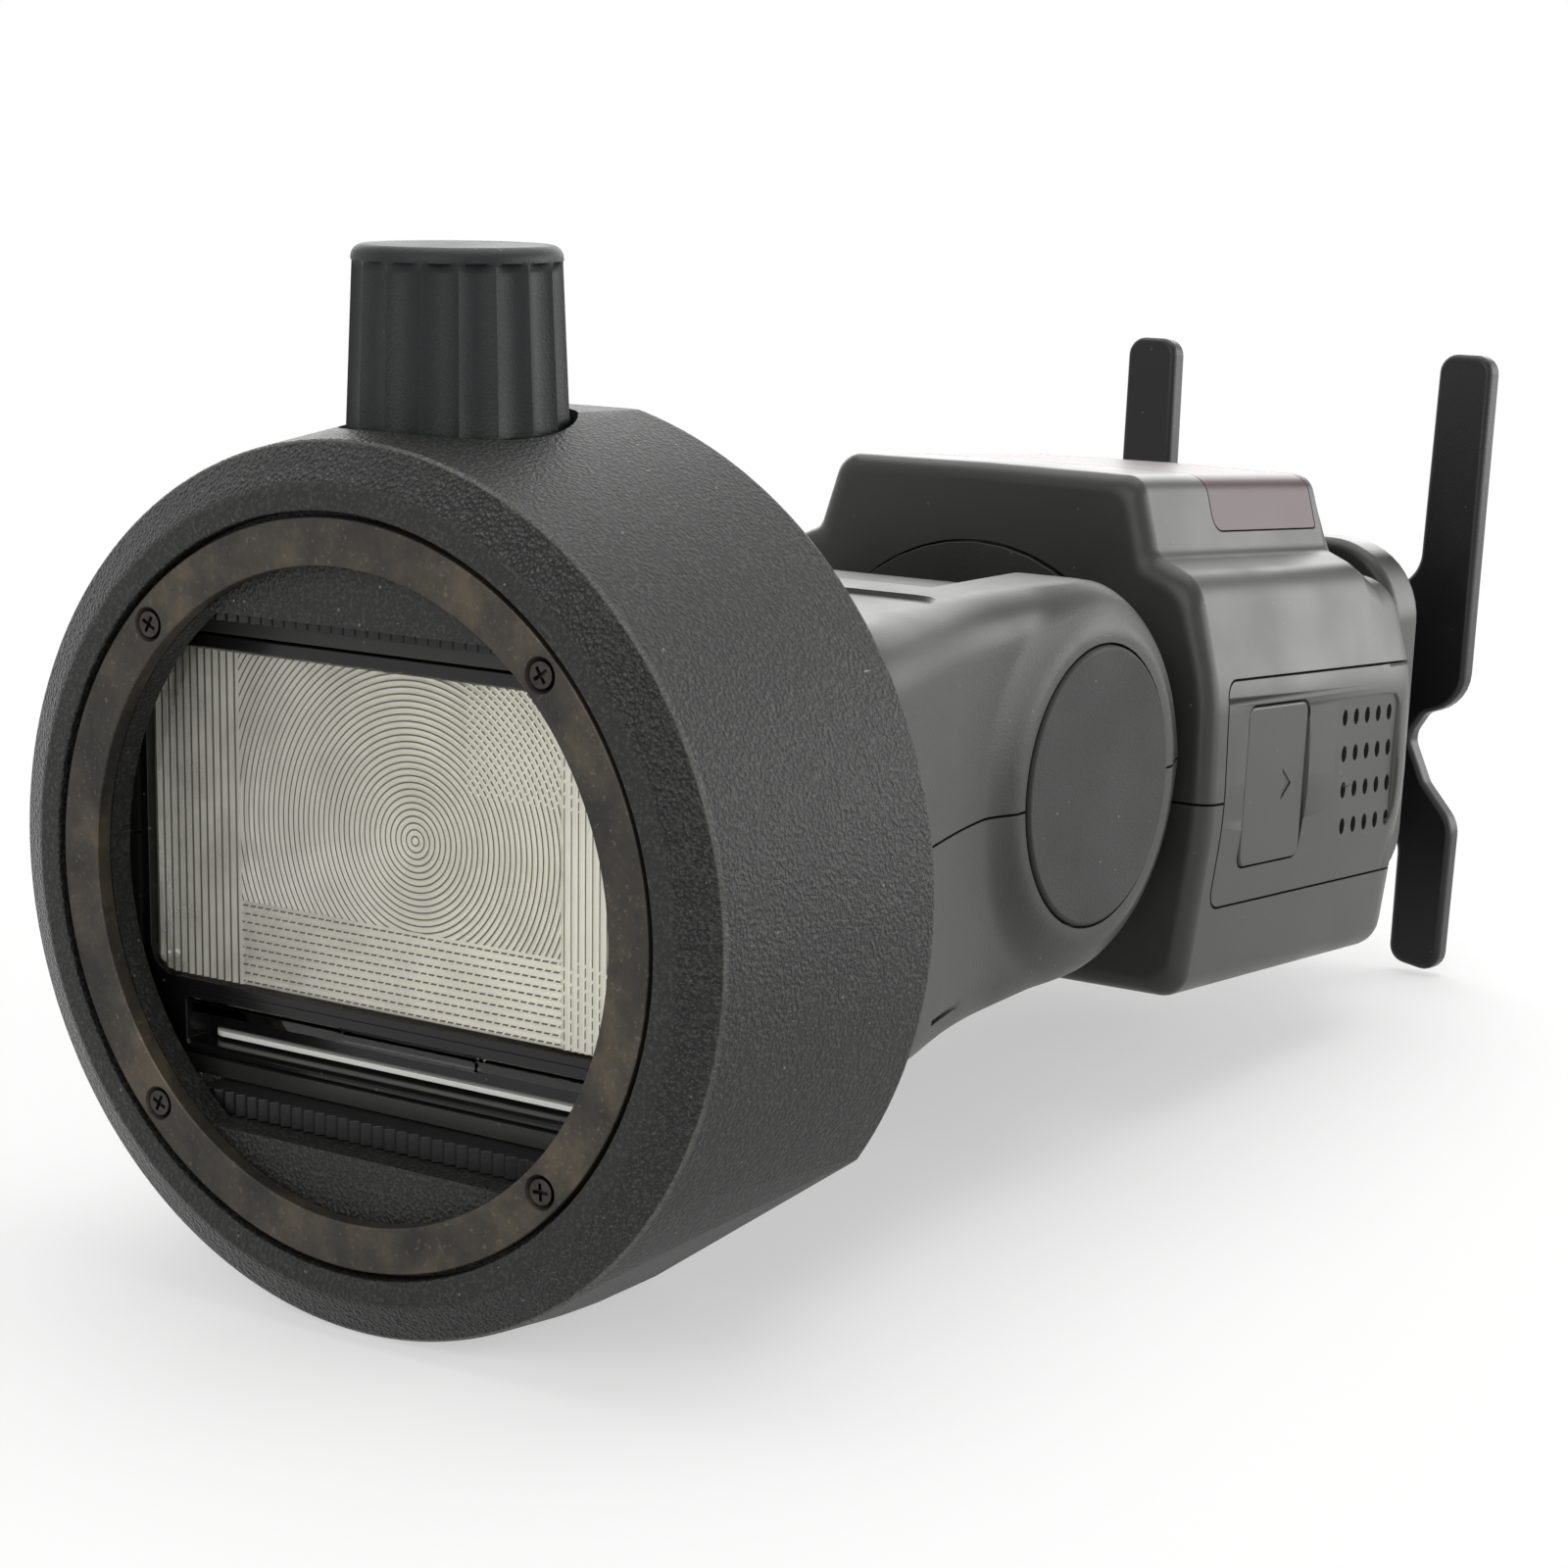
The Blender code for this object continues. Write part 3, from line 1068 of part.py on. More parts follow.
def stand():
    """The moulded table stand: its shoe slides on the foot, and a brass nut takes a tripod screw."""
    thing = plate("mini_stand", "X", STAND_FRONT, STAND_FRONT + STAND_THICK, stand_outline())
    seat(bevel(thing, STAND_EDGE, 1, 50), BODY, "shell_plastic")
    hub = plate("shoe_hub", "X", HUB_FRONT, STAND_FRONT + 1, fillet(rounded((-HUB_HALF, HUB_HALF), (-12, 12), 2), 3))
    join(thing, BODY, hub)
    slot_back = FOOT_X + FOOT_THICK + GAP
    cut(thing, BODY,
        box("foot_slot", (FOOT_X - GAP, slot_back), (-FOOT_HALF - GAP, FOOT_HALF + GAP), (-20, 9 + GAP)),
        box("neck_slot", (HUB_FRONT - 1, FOOT_X), (-FOOT_NECK_HALF - GAP, FOOT_NECK_HALF + GAP), (-20, 6.2 + GAP)),
        box("pin_groove", (slot_back - 0.5, slot_back + 1.6), (-1.6, 1.6), (-20, 6)),
        cylinder("nut_seat", "X", (0, 0, 0), STAND_FRONT - INSERT_NUT_DEPTH - GAP, STAND_BACK + 5,
                 INSERT_NUT_R + 0.15, 24))
    nut = plate("tripod_nut", "X", STAND_FRONT - INSERT_NUT_DEPTH, STAND_BACK - 0.2,
                circle((0, 0), INSERT_NUT_R, 24), circle((0, 0), INSERT_NUT_BORE, 24))
    seat(nut, BODY, "brass")


adapter_shell()
ring_plate()
ring_screws()
clamp()
clamp_knob()
head_shells()
hinge_caps()
head_front()
zoom_unit()
hinge_bracket()
neck()
body_shells()
af_window()
battery()
controls()
inner_works()
port_cover()
foot()
stand()
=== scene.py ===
"""Looks of a camera flash with a round-head adapter and a small table stand.

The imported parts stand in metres, X along the head from the ring to the stand and Z up.  New pieces are
drawn in millimetres in the head's or the body's own frame and then set down in metres.
"""

import json
import math

import bpy
from mathutils import Matrix, Quaternion, Vector


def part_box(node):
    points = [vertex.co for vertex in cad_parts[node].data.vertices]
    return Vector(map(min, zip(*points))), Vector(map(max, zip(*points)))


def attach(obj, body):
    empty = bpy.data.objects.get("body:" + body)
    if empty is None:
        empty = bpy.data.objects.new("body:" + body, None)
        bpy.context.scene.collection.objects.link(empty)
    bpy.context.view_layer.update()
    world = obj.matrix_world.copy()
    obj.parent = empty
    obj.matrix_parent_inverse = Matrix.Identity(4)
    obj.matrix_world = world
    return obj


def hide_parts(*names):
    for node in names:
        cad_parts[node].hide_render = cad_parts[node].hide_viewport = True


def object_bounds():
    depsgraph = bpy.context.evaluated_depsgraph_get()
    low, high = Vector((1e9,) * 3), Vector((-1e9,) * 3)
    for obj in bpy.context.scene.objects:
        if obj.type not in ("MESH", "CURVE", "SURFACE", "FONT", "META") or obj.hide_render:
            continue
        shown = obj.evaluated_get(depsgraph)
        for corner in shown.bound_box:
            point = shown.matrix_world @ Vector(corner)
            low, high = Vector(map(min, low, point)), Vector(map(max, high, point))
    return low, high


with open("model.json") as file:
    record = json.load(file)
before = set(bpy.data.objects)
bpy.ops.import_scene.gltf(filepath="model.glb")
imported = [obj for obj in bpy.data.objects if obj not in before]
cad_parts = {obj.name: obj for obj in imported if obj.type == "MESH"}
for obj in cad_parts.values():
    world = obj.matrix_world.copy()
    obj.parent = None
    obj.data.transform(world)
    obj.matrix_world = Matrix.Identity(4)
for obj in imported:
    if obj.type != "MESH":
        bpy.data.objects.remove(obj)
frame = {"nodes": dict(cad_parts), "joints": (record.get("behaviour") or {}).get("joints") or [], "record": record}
cad_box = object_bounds()


# The frames that pieces are drawn in.
# The head's frame has the front of the ring's groove at X = 0 and the lamp's axis along X; the body's frame
# turns on the tilt hinge, so that the body hangs down a few degrees as it lies on the table.
MM = 0.001
RING_SET_BACK = 0.3
joints = {joint["name"]: joint for joint in frame["joints"]}
ring_low, ring_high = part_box("ring_plate")
HEAD = (Matrix.Translation((ring_low.x - RING_SET_BACK * MM, 0, (ring_low.z + ring_high.z) / 2))
        @ Matrix.Scale(MM, 4))
hinge_at = Vector(joints["head_tilt"]["pos_m"])
body_along = Vector(joints["head_pan"]["axis"])
BODY = (Matrix.Translation(hinge_at)
        @ Matrix.Rotation(math.atan2(-body_along.z, body_along.x), 4, "Y") @ Matrix.Scale(MM, 4))
HINGE_X = (hinge_at.x - HEAD.translation.x) / MM
HINGE_Z = (hinge_at.z - HEAD.translation.z) / MM


# The camera, as the photograph was taken.
# A long lens a third of a metre away, a little above the ring, looking along the head towards the stand.
camera = bpy.data.objects.new("photo_camera", bpy.data.cameras.new("photo_camera"))
bpy.context.scene.collection.objects.link(camera)
bpy.context.scene.camera = camera
camera.data.lens = 78.75
camera.data.sensor_width = 36.0
camera.location = HEAD @ Vector((-247.44, -219.76, 77.07))
VIEW_TURN = math.radians(34.01)
VIEW_DROP = math.radians(11.15)
CAMERA_ROLL = math.radians(0.82)
view_along = Vector((math.cos(VIEW_TURN) * math.cos(VIEW_DROP), math.sin(VIEW_TURN) * math.cos(VIEW_DROP),
                     -math.sin(VIEW_DROP)))
camera.rotation_mode = "QUATERNION"
camera.rotation_quaternion = view_along.to_track_quat("-Z", "Y") @ Quaternion((0, 0, 1), CAMERA_ROLL)
camera.data.clip_start = 0.01
camera.data.clip_end = 20


# The studio: a white table top under a white sky.
# Matt white board, lit by large soft boxes above, beside, in front and behind, for a product photograph on
# plain white.
def linear(code):
    """An sRGB hex colour as linear red, green, blue and alpha."""
    values = [int(code[k:k + 2], 16) / 255 for k in (1, 3, 5)]
    return [v / 12.92 if v <= 0.04045 else ((v + 0.055) / 1.055) ** 2.4 for v in values] + [1.0]


def add_node(tree, kind, inputs=None, **settings):
    """Adds a shader node; an input is a value, a hex colour, or a node or an output socket to link."""
    node = tree.nodes.new("ShaderNode" + kind)
    for key, value in settings.items():
        setattr(node, key, value)
    for key, value in (inputs or {}).items():
        if isinstance(value, bpy.types.Node):
            value = next(socket for socket in value.outputs if socket.enabled)
        if isinstance(value, bpy.types.NodeSocket):
            tree.links.new(value, node.inputs[key])
        else:
            node.inputs[key].default_value = linear(value) if isinstance(value, str) else value
    return node


def material(name):
    """A material, its empty tree, and the piece's own coordinates in it."""
    made = bpy.data.materials.new(name)
    made.use_nodes = True
    made.node_tree.nodes.clear()
    return made, made.node_tree, add_node(made.node_tree, "TexCoord").outputs["Object"]


def seen_directly(tree):
    """1 for what the camera sees directly, in a mirror or through glass."""
    path = add_node(tree, "LightPath").outputs
    seen = path["Is Camera Ray"]
    for ray in ("Is Transmission Ray", "Is Glossy Ray"):
        seen = add_node(tree, "Math", {0: seen, 1: path[ray]}, operation="MAXIMUM")
    return seen


def deselect():
    if bpy.context.object and bpy.context.object.mode != "OBJECT":
        bpy.ops.object.mode_set(mode="OBJECT")
    bpy.ops.object.select_all(action="DESELECT")


TABLE_SIZE = 6
TABLE_BELOW = 0.0003
deselect()
bpy.ops.mesh.primitive_plane_add(size=TABLE_SIZE, location=(0, 0, -TABLE_BELOW))
table_top = bpy.context.object
table_top.name = "table_top"
white_board, tree, place = material("matt_white_board")
board = add_node(tree, "BsdfDiffuse", {"Color": "#f7f7f6"})
glow = add_node(tree, "Emission", {"Color": "#ffffff", "Strength": 1.0})
reach = add_node(tree, "VectorMath", {0: place}, operation="LENGTH")
# The board fades into plain white between these distances from the flash, in metres; nearer than that it is
# partly white already, because the shadow in the photograph is faint.
FADE_START = 0.07
FADE_END = 0.24
WHITE_BELOW = 0.45
fade = add_node(tree, "MapRange", {
    "Value": reach, "From Min": FADE_START, "From Max": FADE_END, "To Min": WHITE_BELOW},
    interpolation_type="SMOOTHSTEP")
fade = add_node(tree, "Math", {0: fade, 1: seen_directly(tree)}, operation="MULTIPLY")
board = add_node(tree, "MixShader", {0: fade, 1: board, 2: glow})
add_node(tree, "OutputMaterial", {"Surface": board})
table_top.data.materials.append(white_board)

sky = bpy.data.worlds.new("white_studio")
bpy.context.scene.world = sky
sky.use_nodes = True
tree = sky.node_tree
tree.nodes.clear()
SKY_LIGHT = 0.21
soft_sky = add_node(tree, "Background", {"Color": "#ffffff", "Strength": SKY_LIGHT})
seen_sky = add_node(tree, "Background", {"Color": "#ffffff", "Strength": 1.0})
sky_mix = add_node(tree, "MixShader", {0: seen_directly(tree), 1: soft_sky, 2: seen_sky})
add_node(tree, "OutputWorld", {"Surface": sky_mix})


def soft_box(name, place, aim, width, height, power):
    lamp = bpy.data.lights.new(name, "AREA")
    lamp.shape = "RECTANGLE"
    lamp.size = width
    lamp.size_y = height
    lamp.energy = power
    stand = bpy.data.objects.new(name, lamp)
    bpy.context.scene.collection.objects.link(stand)
    stand.location = place
    stand.rotation_mode = "QUATERNION"
    stand.rotation_quaternion = (Vector(aim) - Vector(place)).to_track_quat("-Z", "Y")


soft_box("top_box", (0.12, 0.05, 0.75), (0, 0, 0.05), 0.8, 0.8, 4.4)
soft_box("right_box", (0.5, -0.62, 0.2), (0.03, 0, 0.03), 1.1, 0.42, 5.6)
soft_box("front_box", (-0.62, -0.1, 0.3), (-0.05, 0, 0.05), 0.5, 0.5, 1.7)
soft_box("back_box", (0.72, 0.5, 0.34), (0.03, 0, 0.06), 1.0, 0.45, 4.0)


# The adapter's housing.
# A round cup moulded in glass-filled nylon with its web, shelf and knob seat in one; a steel mould with a
# spark-eroded skin gave its outside a fine grain, which is coarser and shinier on the bevel round the front.
def fillet(corners, segments=8):
    """An outline from (a, b, radius) corners, each rounded by an arc."""
    outline = []
    for index, (a, b, radius) in enumerate(corners):
        corner = Vector((a, b))
        before = (Vector(corners[index - 1][:2]) - corner).normalized()
        after = (Vector(corners[(index + 1) % len(corners)][:2]) - corner).normalized()
        if radius <= 0:
            outline.append((a, b))
            continue
        half = before.angle(after) / 2
        start = corner + before * (radius / math.tan(half))
        centre = corner + (before + after).normalized() * (radius / math.sin(half))
        end = corner + after * (radius / math.tan(half))
        first = math.atan2(start.y - centre.y, start.x - centre.x)
        sweep = math.atan2(end.y - centre.y, end.x - centre.x) - first
        sweep = (sweep + math.pi) % (2 * math.pi) - math.pi
        for k in range(segments + 1):
            angle = first + sweep * k / segments
            outline.append((centre.x + radius * math.cos(angle), centre.y + radius * math.sin(angle)))
    return outline


def rounded(a, b, radius):
    """Corners of a rectangle from a = (low, high) and b = (low, high)."""
    return [(a[0], b[0], radius), (a[1], b[0], radius), (a[1], b[1], radius), (a[0], b[1], radius)]


SIDE_OF = {"X": lambda a, u, v: (a, u, v), "Y": lambda a, u, v: (u, a, v), "Z": lambda a, u, v: (u, v, a)}


def edit():
    bpy.ops.object.mode_set(mode="EDIT")
    bpy.ops.mesh.select_all(action="SELECT")


def close_up():
    """Merges doubles, drops loose ends and turns all faces outwards."""
    bpy.ops.mesh.select_all(action="SELECT")
    bpy.ops.mesh.remove_doubles(threshold=0.0005)
    bpy.ops.mesh.delete_loose()
    bpy.ops.mesh.select_all(action="SELECT")
    bpy.ops.mesh.normals_make_consistent(inside=False)
    bpy.ops.object.mode_set(mode="OBJECT")


def turn(name, profile, steps=128, axis="X", centre=(0, 0, 0)):
    """A form turned about an axis through the centre, from a closed line of (along, radius) points."""
    deselect()
    bpy.ops.mesh.primitive_circle_add(vertices=len(profile), fill_type="NOTHING")
    piece = bpy.context.object
    piece.name = name
    for vertex, (along, radius) in zip(piece.data.vertices, profile):
        place = (radius, 0, along) if axis == "Z" else SIDE_OF[axis](along, 0, radius)
        vertex.co = Vector(centre) + Vector(place)
    edit()
    bpy.ops.mesh.spin(steps=steps, angle=2 * math.pi, center=centre, axis=SIDE_OF[axis](1, 0, 0))
    close_up()
    return piece


def slab(name, axis, outline, low, high):
    """A flat outline drawn out along an axis; across X it is (y, z), across Y (x, z), across Z (x, y)."""
    deselect()
    bpy.ops.mesh.primitive_circle_add(vertices=len(outline), fill_type="NGON")
    piece = bpy.context.object
    piece.name = name
    for vertex, (u, v) in zip(piece.data.vertices, outline):
        vertex.co = SIDE_OF[axis](low, u, v)
    edit()
    bpy.ops.mesh.extrude_region_move(TRANSFORM_OT_translate={"value": SIDE_OF[axis](high - low, 0, 0)})
    close_up()
    return piece


def rod(name, axis, centre, low, high, radius, end_radius=None, sides=48):
    """A cylinder or cone that stands on an axis through the centre."""
    end_radius = radius if end_radius is None else end_radius
    return turn(name, [(low, 0), (low, radius), (high, end_radius), (high, 0)], sides, axis, centre)


def block(name, x, y, z):
    return slab(name, "X", [(y[0], z[0]), (y[1], z[0]), (y[1], z[1]), (y[0], z[1])], *x)


def choose(piece):
    deselect()
    piece.select_set(True)
    bpy.context.view_layer.objects.active = piece


def work(piece, kind, **settings):
    """Adds a modifier and applies it at once."""
    choose(piece)
    step = piece.modifiers.new("worked", kind)
    for key, value in settings.items():
        setattr(step, key, value)
    bpy.ops.object.modifier_apply(modifier=step.name)


def combine(piece, operation, others):
    for other in others:
        work(piece, "BOOLEAN", operation=operation, solver="EXACT", object=other)
        bpy.data.objects.remove(other)
    return piece


def cut(piece, *others):
    return combine(piece, "DIFFERENCE", others)


def join(piece, *others):
    return combine(piece, "UNION", others)


def keep(piece, *others):
    return combine(piece, "INTERSECT", others)


def soften(piece, width=0, segments=3, angle=35, smooth=40):
    """Rounds the edges that are sharper than the angle, and smooths the shading between flat faces."""
    if width:
        work(piece, "BEVEL", width=width, segments=segments, limit_method="ANGLE",
             angle_limit=math.radians(angle))
    choose(piece)
    bpy.ops.object.shade_smooth_by_angle(angle=math.radians(smooth))
    work(piece, "WEIGHTED_NORMAL", keep_sharp=True)
    return piece


bodies = frame["record"]["behaviour"]["bodies"]
body_of_node = {node: body for body, nodes in bodies.items() for node in nodes}


def settle(piece, drawn_in, node, finish):
    """Sets a drawn piece down in metres in place of its node, on the node's body and with its finish."""
    piece.data.transform(drawn_in)
    piece.name = node + "_finished"
    piece.data.name = piece.name
    piece.data.materials.clear()
    piece.data.materials.append(finish)
    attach(piece, body_of_node[node])
    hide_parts(node)


def moulded(name, colour, roughness, grain, depth, dust="#8f8e88", dusty=0.25):
    """Moulded plastic or rubber: a noise grain of the given size and depth in mm, cloudy gloss, and dust."""
    made, tree, place = material(name)
    fine = add_node(tree, "TexNoise", {"Vector": place, "Scale": 1 / (grain * MM)})
    bump = add_node(tree, "Bump", {"Distance": depth * MM, "Height": fine})
    # Handling leaves clouds about a finger wide, slightly paler and duller than the rest.
    cloud = add_node(tree, "TexNoise", {"Vector": place, "Scale": 1 / (14 * MM), "Detail": 4.0})
    gloss = add_node(tree, "MapRange", {
        "Value": cloud, "From Min": 0.3, "From Max": 0.7,
        "To Min": roughness - 0.05, "To Max": roughness + 0.07})
    # Dust lies as single grains up to 0.3 mm wide, about one to the square centimetre.
    speck = add_node(tree, "TexVoronoi", {"Vector": place, "Scale": 1 / (3.5 * MM)})
    speck = add_node(tree, "MapRange", {
        "Value": speck, "From Min": 0.055, "From Max": 0.035, "To Max": dusty})
    darker, lighter = [[v * share for v in linear(colour)[:3]] + [1.0] for share in (0.86, 1.16)]
    tone = add_node(tree, "Mix", {"Factor": cloud, "A": darker, "B": lighter}, data_type="RGBA")
    tone = add_node(tree, "Mix", {"Factor": speck, "A": tone, "B": dust}, data_type="RGBA")
    shader = add_node(tree, "BsdfPrincipled", {
        "Base Color": tone, "Roughness": gloss, "IOR": 1.5, "Specular IOR Level": 0.31, "Normal": bump})
    add_node(tree, "OutputMaterial", {"Surface": shader})
    return made


def polygon(lines):
    """Corners where neighbouring lines meet; a line is (angle of its normal, distance)."""
    corners = []
    for (a, d), (b, e) in zip(lines, lines[1:] + lines[:1]):
        a, b = math.radians(a), math.radians(b)
        det = math.cos(a) * math.sin(b) - math.sin(a) * math.cos(b)
        corners.append(((d * math.sin(b) - e * math.sin(a)) / det, (e * math.cos(a) - d * math.cos(b)) / det))
    return corners


ADAPTER_DEPTH = 34.0
ADAPTER_REAR_R = 48.4
ADAPTER_WALL = 2.5
BEZEL_R = 45.2
BEZEL_DEPTH = 2.4
LIP_OUT_R = 40.8
LIP_IN_R = 38.4
WEB_FRONT = 2.3
WEB_BACK = 5.0
WINDOW_R = 33.0
WINDOW_HALF = 26.8
CLAMP_X = 19.0
KNOB_BOTTOM_R = 11.3
TOP_FLAT = 46.8
RECESS_FLOOR = 44.6
SCREW_SIDE = 35.45 * math.sqrt(0.5)
SCREW_PLACES = [(y * SCREW_SIDE, z * SCREW_SIDE) for y, z in ((1, 1), (-1, 1), (-1, -1), (1, -1))]
clamp_at = (CLAMP_X, 0, 0)
# Cutting pieces reach this far out.
FAR = 60.0


def adapter_flats(wall=0.0):
    """Across X: one flat on top and three below cut the round cup."""
    flat_r, top, far = BEZEL_R - wall, TOP_FLAT - wall, 70
    lines = [(90, top), (180, far), (235, flat_r), (270, flat_r), (305, flat_r), (0, far)]
    return slab("flats", "X", polygon(lines), -5, ADAPTER_DEPTH + 5)


adapter = turn("adapter", fillet([
    (ADAPTER_DEPTH, 0, 0), (ADAPTER_DEPTH, ADAPTER_REAR_R, 0.8), (BEZEL_DEPTH, BEZEL_R, 0.5),
    (0, LIP_OUT_R, 0.4), (0, LIP_IN_R, 0.25), (WEB_FRONT, LIP_IN_R, 0), (WEB_FRONT, 0, 0)], 4), 192)
keep(adapter, adapter_flats())
cup = turn("cup", [(ADAPTER_DEPTH + 1, 0), (ADAPTER_DEPTH + 1, ADAPTER_REAR_R - ADAPTER_WALL),
                   (WEB_BACK, BEZEL_R - ADAPTER_WALL), (WEB_BACK, 0)], 128)
keep(cup, adapter_flats(ADAPTER_WALL))
# What the hollow leaves standing: the knob's seat, the boss for the threaded insert and the shelf.
cut(cup, rod("knob_seat", "Z", clamp_at, RECESS_FLOOR - 2.4, FAR, KNOB_BOTTOM_R + 1.9),
    rod("insert_boss", "Z", clamp_at, RECESS_FLOOR - 8.6, RECESS_FLOOR - 1, 6.6),
    block("shelf", (WEB_BACK - 0.5, ADAPTER_DEPTH - 3), (-33.6, 33.6), (-29.6, -27.0)))
cut(adapter, cup)
window_turn = math.degrees(math.asin(WINDOW_HALF / WINDOW_R))
window_arc = [math.radians(-window_turn + 2 * window_turn * k / 40) for k in range(41)]
window = [(WINDOW_R * math.cos(a), WINDOW_R * math.sin(a)) for a in window_arc]
window += [(-y, -z) for y, z in window]
cut(adapter, slab("lens_window", "X", window, WEB_FRONT - 1, WEB_BACK + 1),
    rod("knob_recess", "Z", clamp_at, RECESS_FLOOR, 52.8, KNOB_BOTTOM_R + 0.7, sides=72),
    rod("stud_hole", "Z", clamp_at, 30, TOP_FLAT, 2.8, sides=32),
    rod("insert_pocket", "Z", clamp_at, 30, RECESS_FLOOR - 2.6, 4.7, sides=6),
    *[rod("screw_hole", "X", (0, y, z), WEB_FRONT - 1, WEB_BACK + 1, 1.0, sides=10) for y, z in SCREW_PLACES])

# Satin black with a pebble grain of about 0.4 mm.  The bevel was eroded deeper, so it sparkles; rubbing has
# left pale scuffs and a few hairline scratches on the sides.
GRAIN = 0.42
grained_nylon, tree, place = material("moulded_grained_nylon")
from_front = add_node(tree, "Mapping", {"Vector": place, "Location": [-v for v in HEAD.translation]})
apart = add_node(tree, "SeparateXYZ", {"Vector": from_front})
on_front = add_node(tree, "MapRange", {
    "Value": apart.outputs["X"], "From Min": 2.7 * MM, "From Max": 2.2 * MM})
flattened = add_node(tree, "VectorMath", {0: from_front, 1: (0, 1, 1)}, operation="MULTIPLY")
radius = add_node(tree, "VectorMath", {0: flattened}, operation="LENGTH")
beyond_lip = add_node(tree, "MapRange", {"Value": radius, "From Min": 40.9 * MM, "From Max": 41.4 * MM})
on_bevel = add_node(tree, "Math", {0: on_front, 1: beyond_lip}, operation="MULTIPLY")
fine = add_node(tree, "TexNoise", {"Vector": place, "Scale": 1 / (GRAIN * MM)})
spark_grain = add_node(tree, "Math", {0: fine, 1: 2.6}, operation="MULTIPLY")
coarse = add_node(tree, "TexVoronoi", {
    "Vector": place, "Scale": 1 / (GRAIN * MM), "Smoothness": 0.25}, feature="SMOOTH_F1")
pebbles = add_node(tree, "Math", {0: coarse, 1: 4.6}, operation="MULTIPLY")
grain = add_node(tree, "Mix", {"Factor": on_bevel, "A": spark_grain, "B": pebbles})
grain_bump = add_node(tree, "Bump", {"Distance": 0.11 * MM, "Height": grain})
cloud = add_node(tree, "TexNoise", {"Vector": place, "Scale": 1 / (16 * MM), "Detail": 5.0})
# Scratches run mostly along the adapter: noise drawn out about twenty-four times along X, cut at its crests.
drawn_out = add_node(tree, "Mapping", {
    "Vector": place, "Rotation": (0.5, 0.35, 0.1), "Scale": (110, 2600, 2600)})
scratch = add_node(tree, "TexNoise", {"Vector": drawn_out, "Scale": 1.0, "Detail": 1.0})
scratch = add_node(tree, "MapRange", {"Value": scratch, "From Min": 0.80, "From Max": 0.83, "To Max": 0.55})
speck = add_node(tree, "TexVoronoi", {"Vector": place, "Scale": 1 / (3.0 * MM)})
speck = add_node(tree, "MapRange", {"Value": speck, "From Min": 0.06, "From Max": 0.04, "To Max": 0.35})
marks = add_node(tree, "Math", {0: scratch, 1: speck}, operation="MAXIMUM")
tone = add_node(tree, "Mix", {"Factor": cloud, "A": "#151615", "B": "#1d1e1c"}, data_type="RGBA")
# Handling has polished the crests of the grain a little paler than its pits.
crests = add_node(tree, "MapRange", {"Value": fine, "From Min": 0.50, "From Max": 0.66, "To Max": 0.4})
tone = add_node(tree, "Mix", {"Factor": crests, "A": tone, "B": "#4b4c49"}, data_type="RGBA")
tone = add_node(tree, "Mix", {"Factor": marks, "A": tone, "B": "#a5a59f"}, data_type="RGBA")
# The bevel's outer edge carries a painted highlight, a pale line broken up by the clouds.
painted_edge_highlight = add_node(tree, "MapRange", {
    "Value": radius, "From Min": 44.8 * MM, "From Max": 45.0 * MM, "To Max": 0.8})
for share in (on_front, cloud):
    painted_edge_highlight = add_node(tree, "Math", {0: painted_edge_highlight, 1: share}, operation="MULTIPLY")
tone = add_node(tree, "Mix", {"Factor": painted_edge_highlight, "A": tone, "B": "#8d8d88"}, data_type="RGBA")
gloss = add_node(tree, "Mix", {"Factor": on_bevel, "A": 0.48, "B": 0.24})
shader = add_node(tree, "BsdfPrincipled", {
    "Base Color": tone, "Roughness": gloss, "IOR": 1.53, "Specular IOR Level": 0.26, "Normal": grain_bump})
add_node(tree, "OutputMaterial", {"Surface": shader})
settle(soften(adapter, smooth=32), HEAD, "adapter_shell", grained_nylon)


# The steel ring that magnetic accessories hold on to.
# Cold-rolled sheet, cut and chemically aged to a brown black; magnets have rubbed it, so the bare brown
# shows through in cloudy patches, and four countersunk screws hold it in the adapter's groove.
RING_FRONT = 0.3
RING_BACK = 2.1
RING_OUT_R = 37.8
ring = turn("ring", fillet([
    (RING_FRONT, WINDOW_R, 0.25), (RING_BACK, WINDOW_R, 0), (RING_BACK, RING_OUT_R, 0),
    (RING_FRONT, RING_OUT_R, 0.25)], 3), 192)
cut(ring, *[rod("sink", "X", (0, y, z), RING_FRONT - 0.2, RING_BACK + 0.2, 1.9, 0.9, 24)
            for y, z in SCREW_PLACES])
aged_steel, tree, place = material("aged_brown_steel")
patches = add_node(tree, "TexNoise", {
    "Vector": place, "Scale": 1 / (7 * MM), "Detail": 6.0, "Roughness": 0.62})
mottle = add_node(tree, "TexNoise", {"Vector": place, "Scale": 1 / (0.5 * MM)})
patina = add_node(tree, "ValToRGB", {"Fac": patches})
stops = patina.color_ramp.elements
stops.new(0.5)
for stop, position, colour in zip(stops, (0.36, 0.52, 0.66), ("#2b2a27", "#3c3832", "#50483a")):
    stop.position = position
    stop.color = linear(colour)
worn = add_node(tree, "MapRange", {"Value": mottle, "From Min": 0.62, "From Max": 0.78, "To Max": 0.45})
patina = add_node(tree, "Mix", {"Factor": worn, "A": patina, "B": "#766c5c"}, data_type="RGBA")
rough = add_node(tree, "MapRange", {
    "Value": patches, "From Min": 0.3, "From Max": 0.7, "To Min": 0.58, "To Max": 0.44})
pits = add_node(tree, "Bump", {"Strength": 0.6, "Distance": 0.02 * MM, "Height": mottle})
shader = add_node(tree, "BsdfPrincipled", {
    "Base Color": patina, "Roughness": rough, "Metallic": 0.55, "Normal": pits})
add_node(tree, "OutputMaterial", {"Surface": shader})
settle(soften(ring, smooth=32), HEAD, "ring_plate", aged_steel)


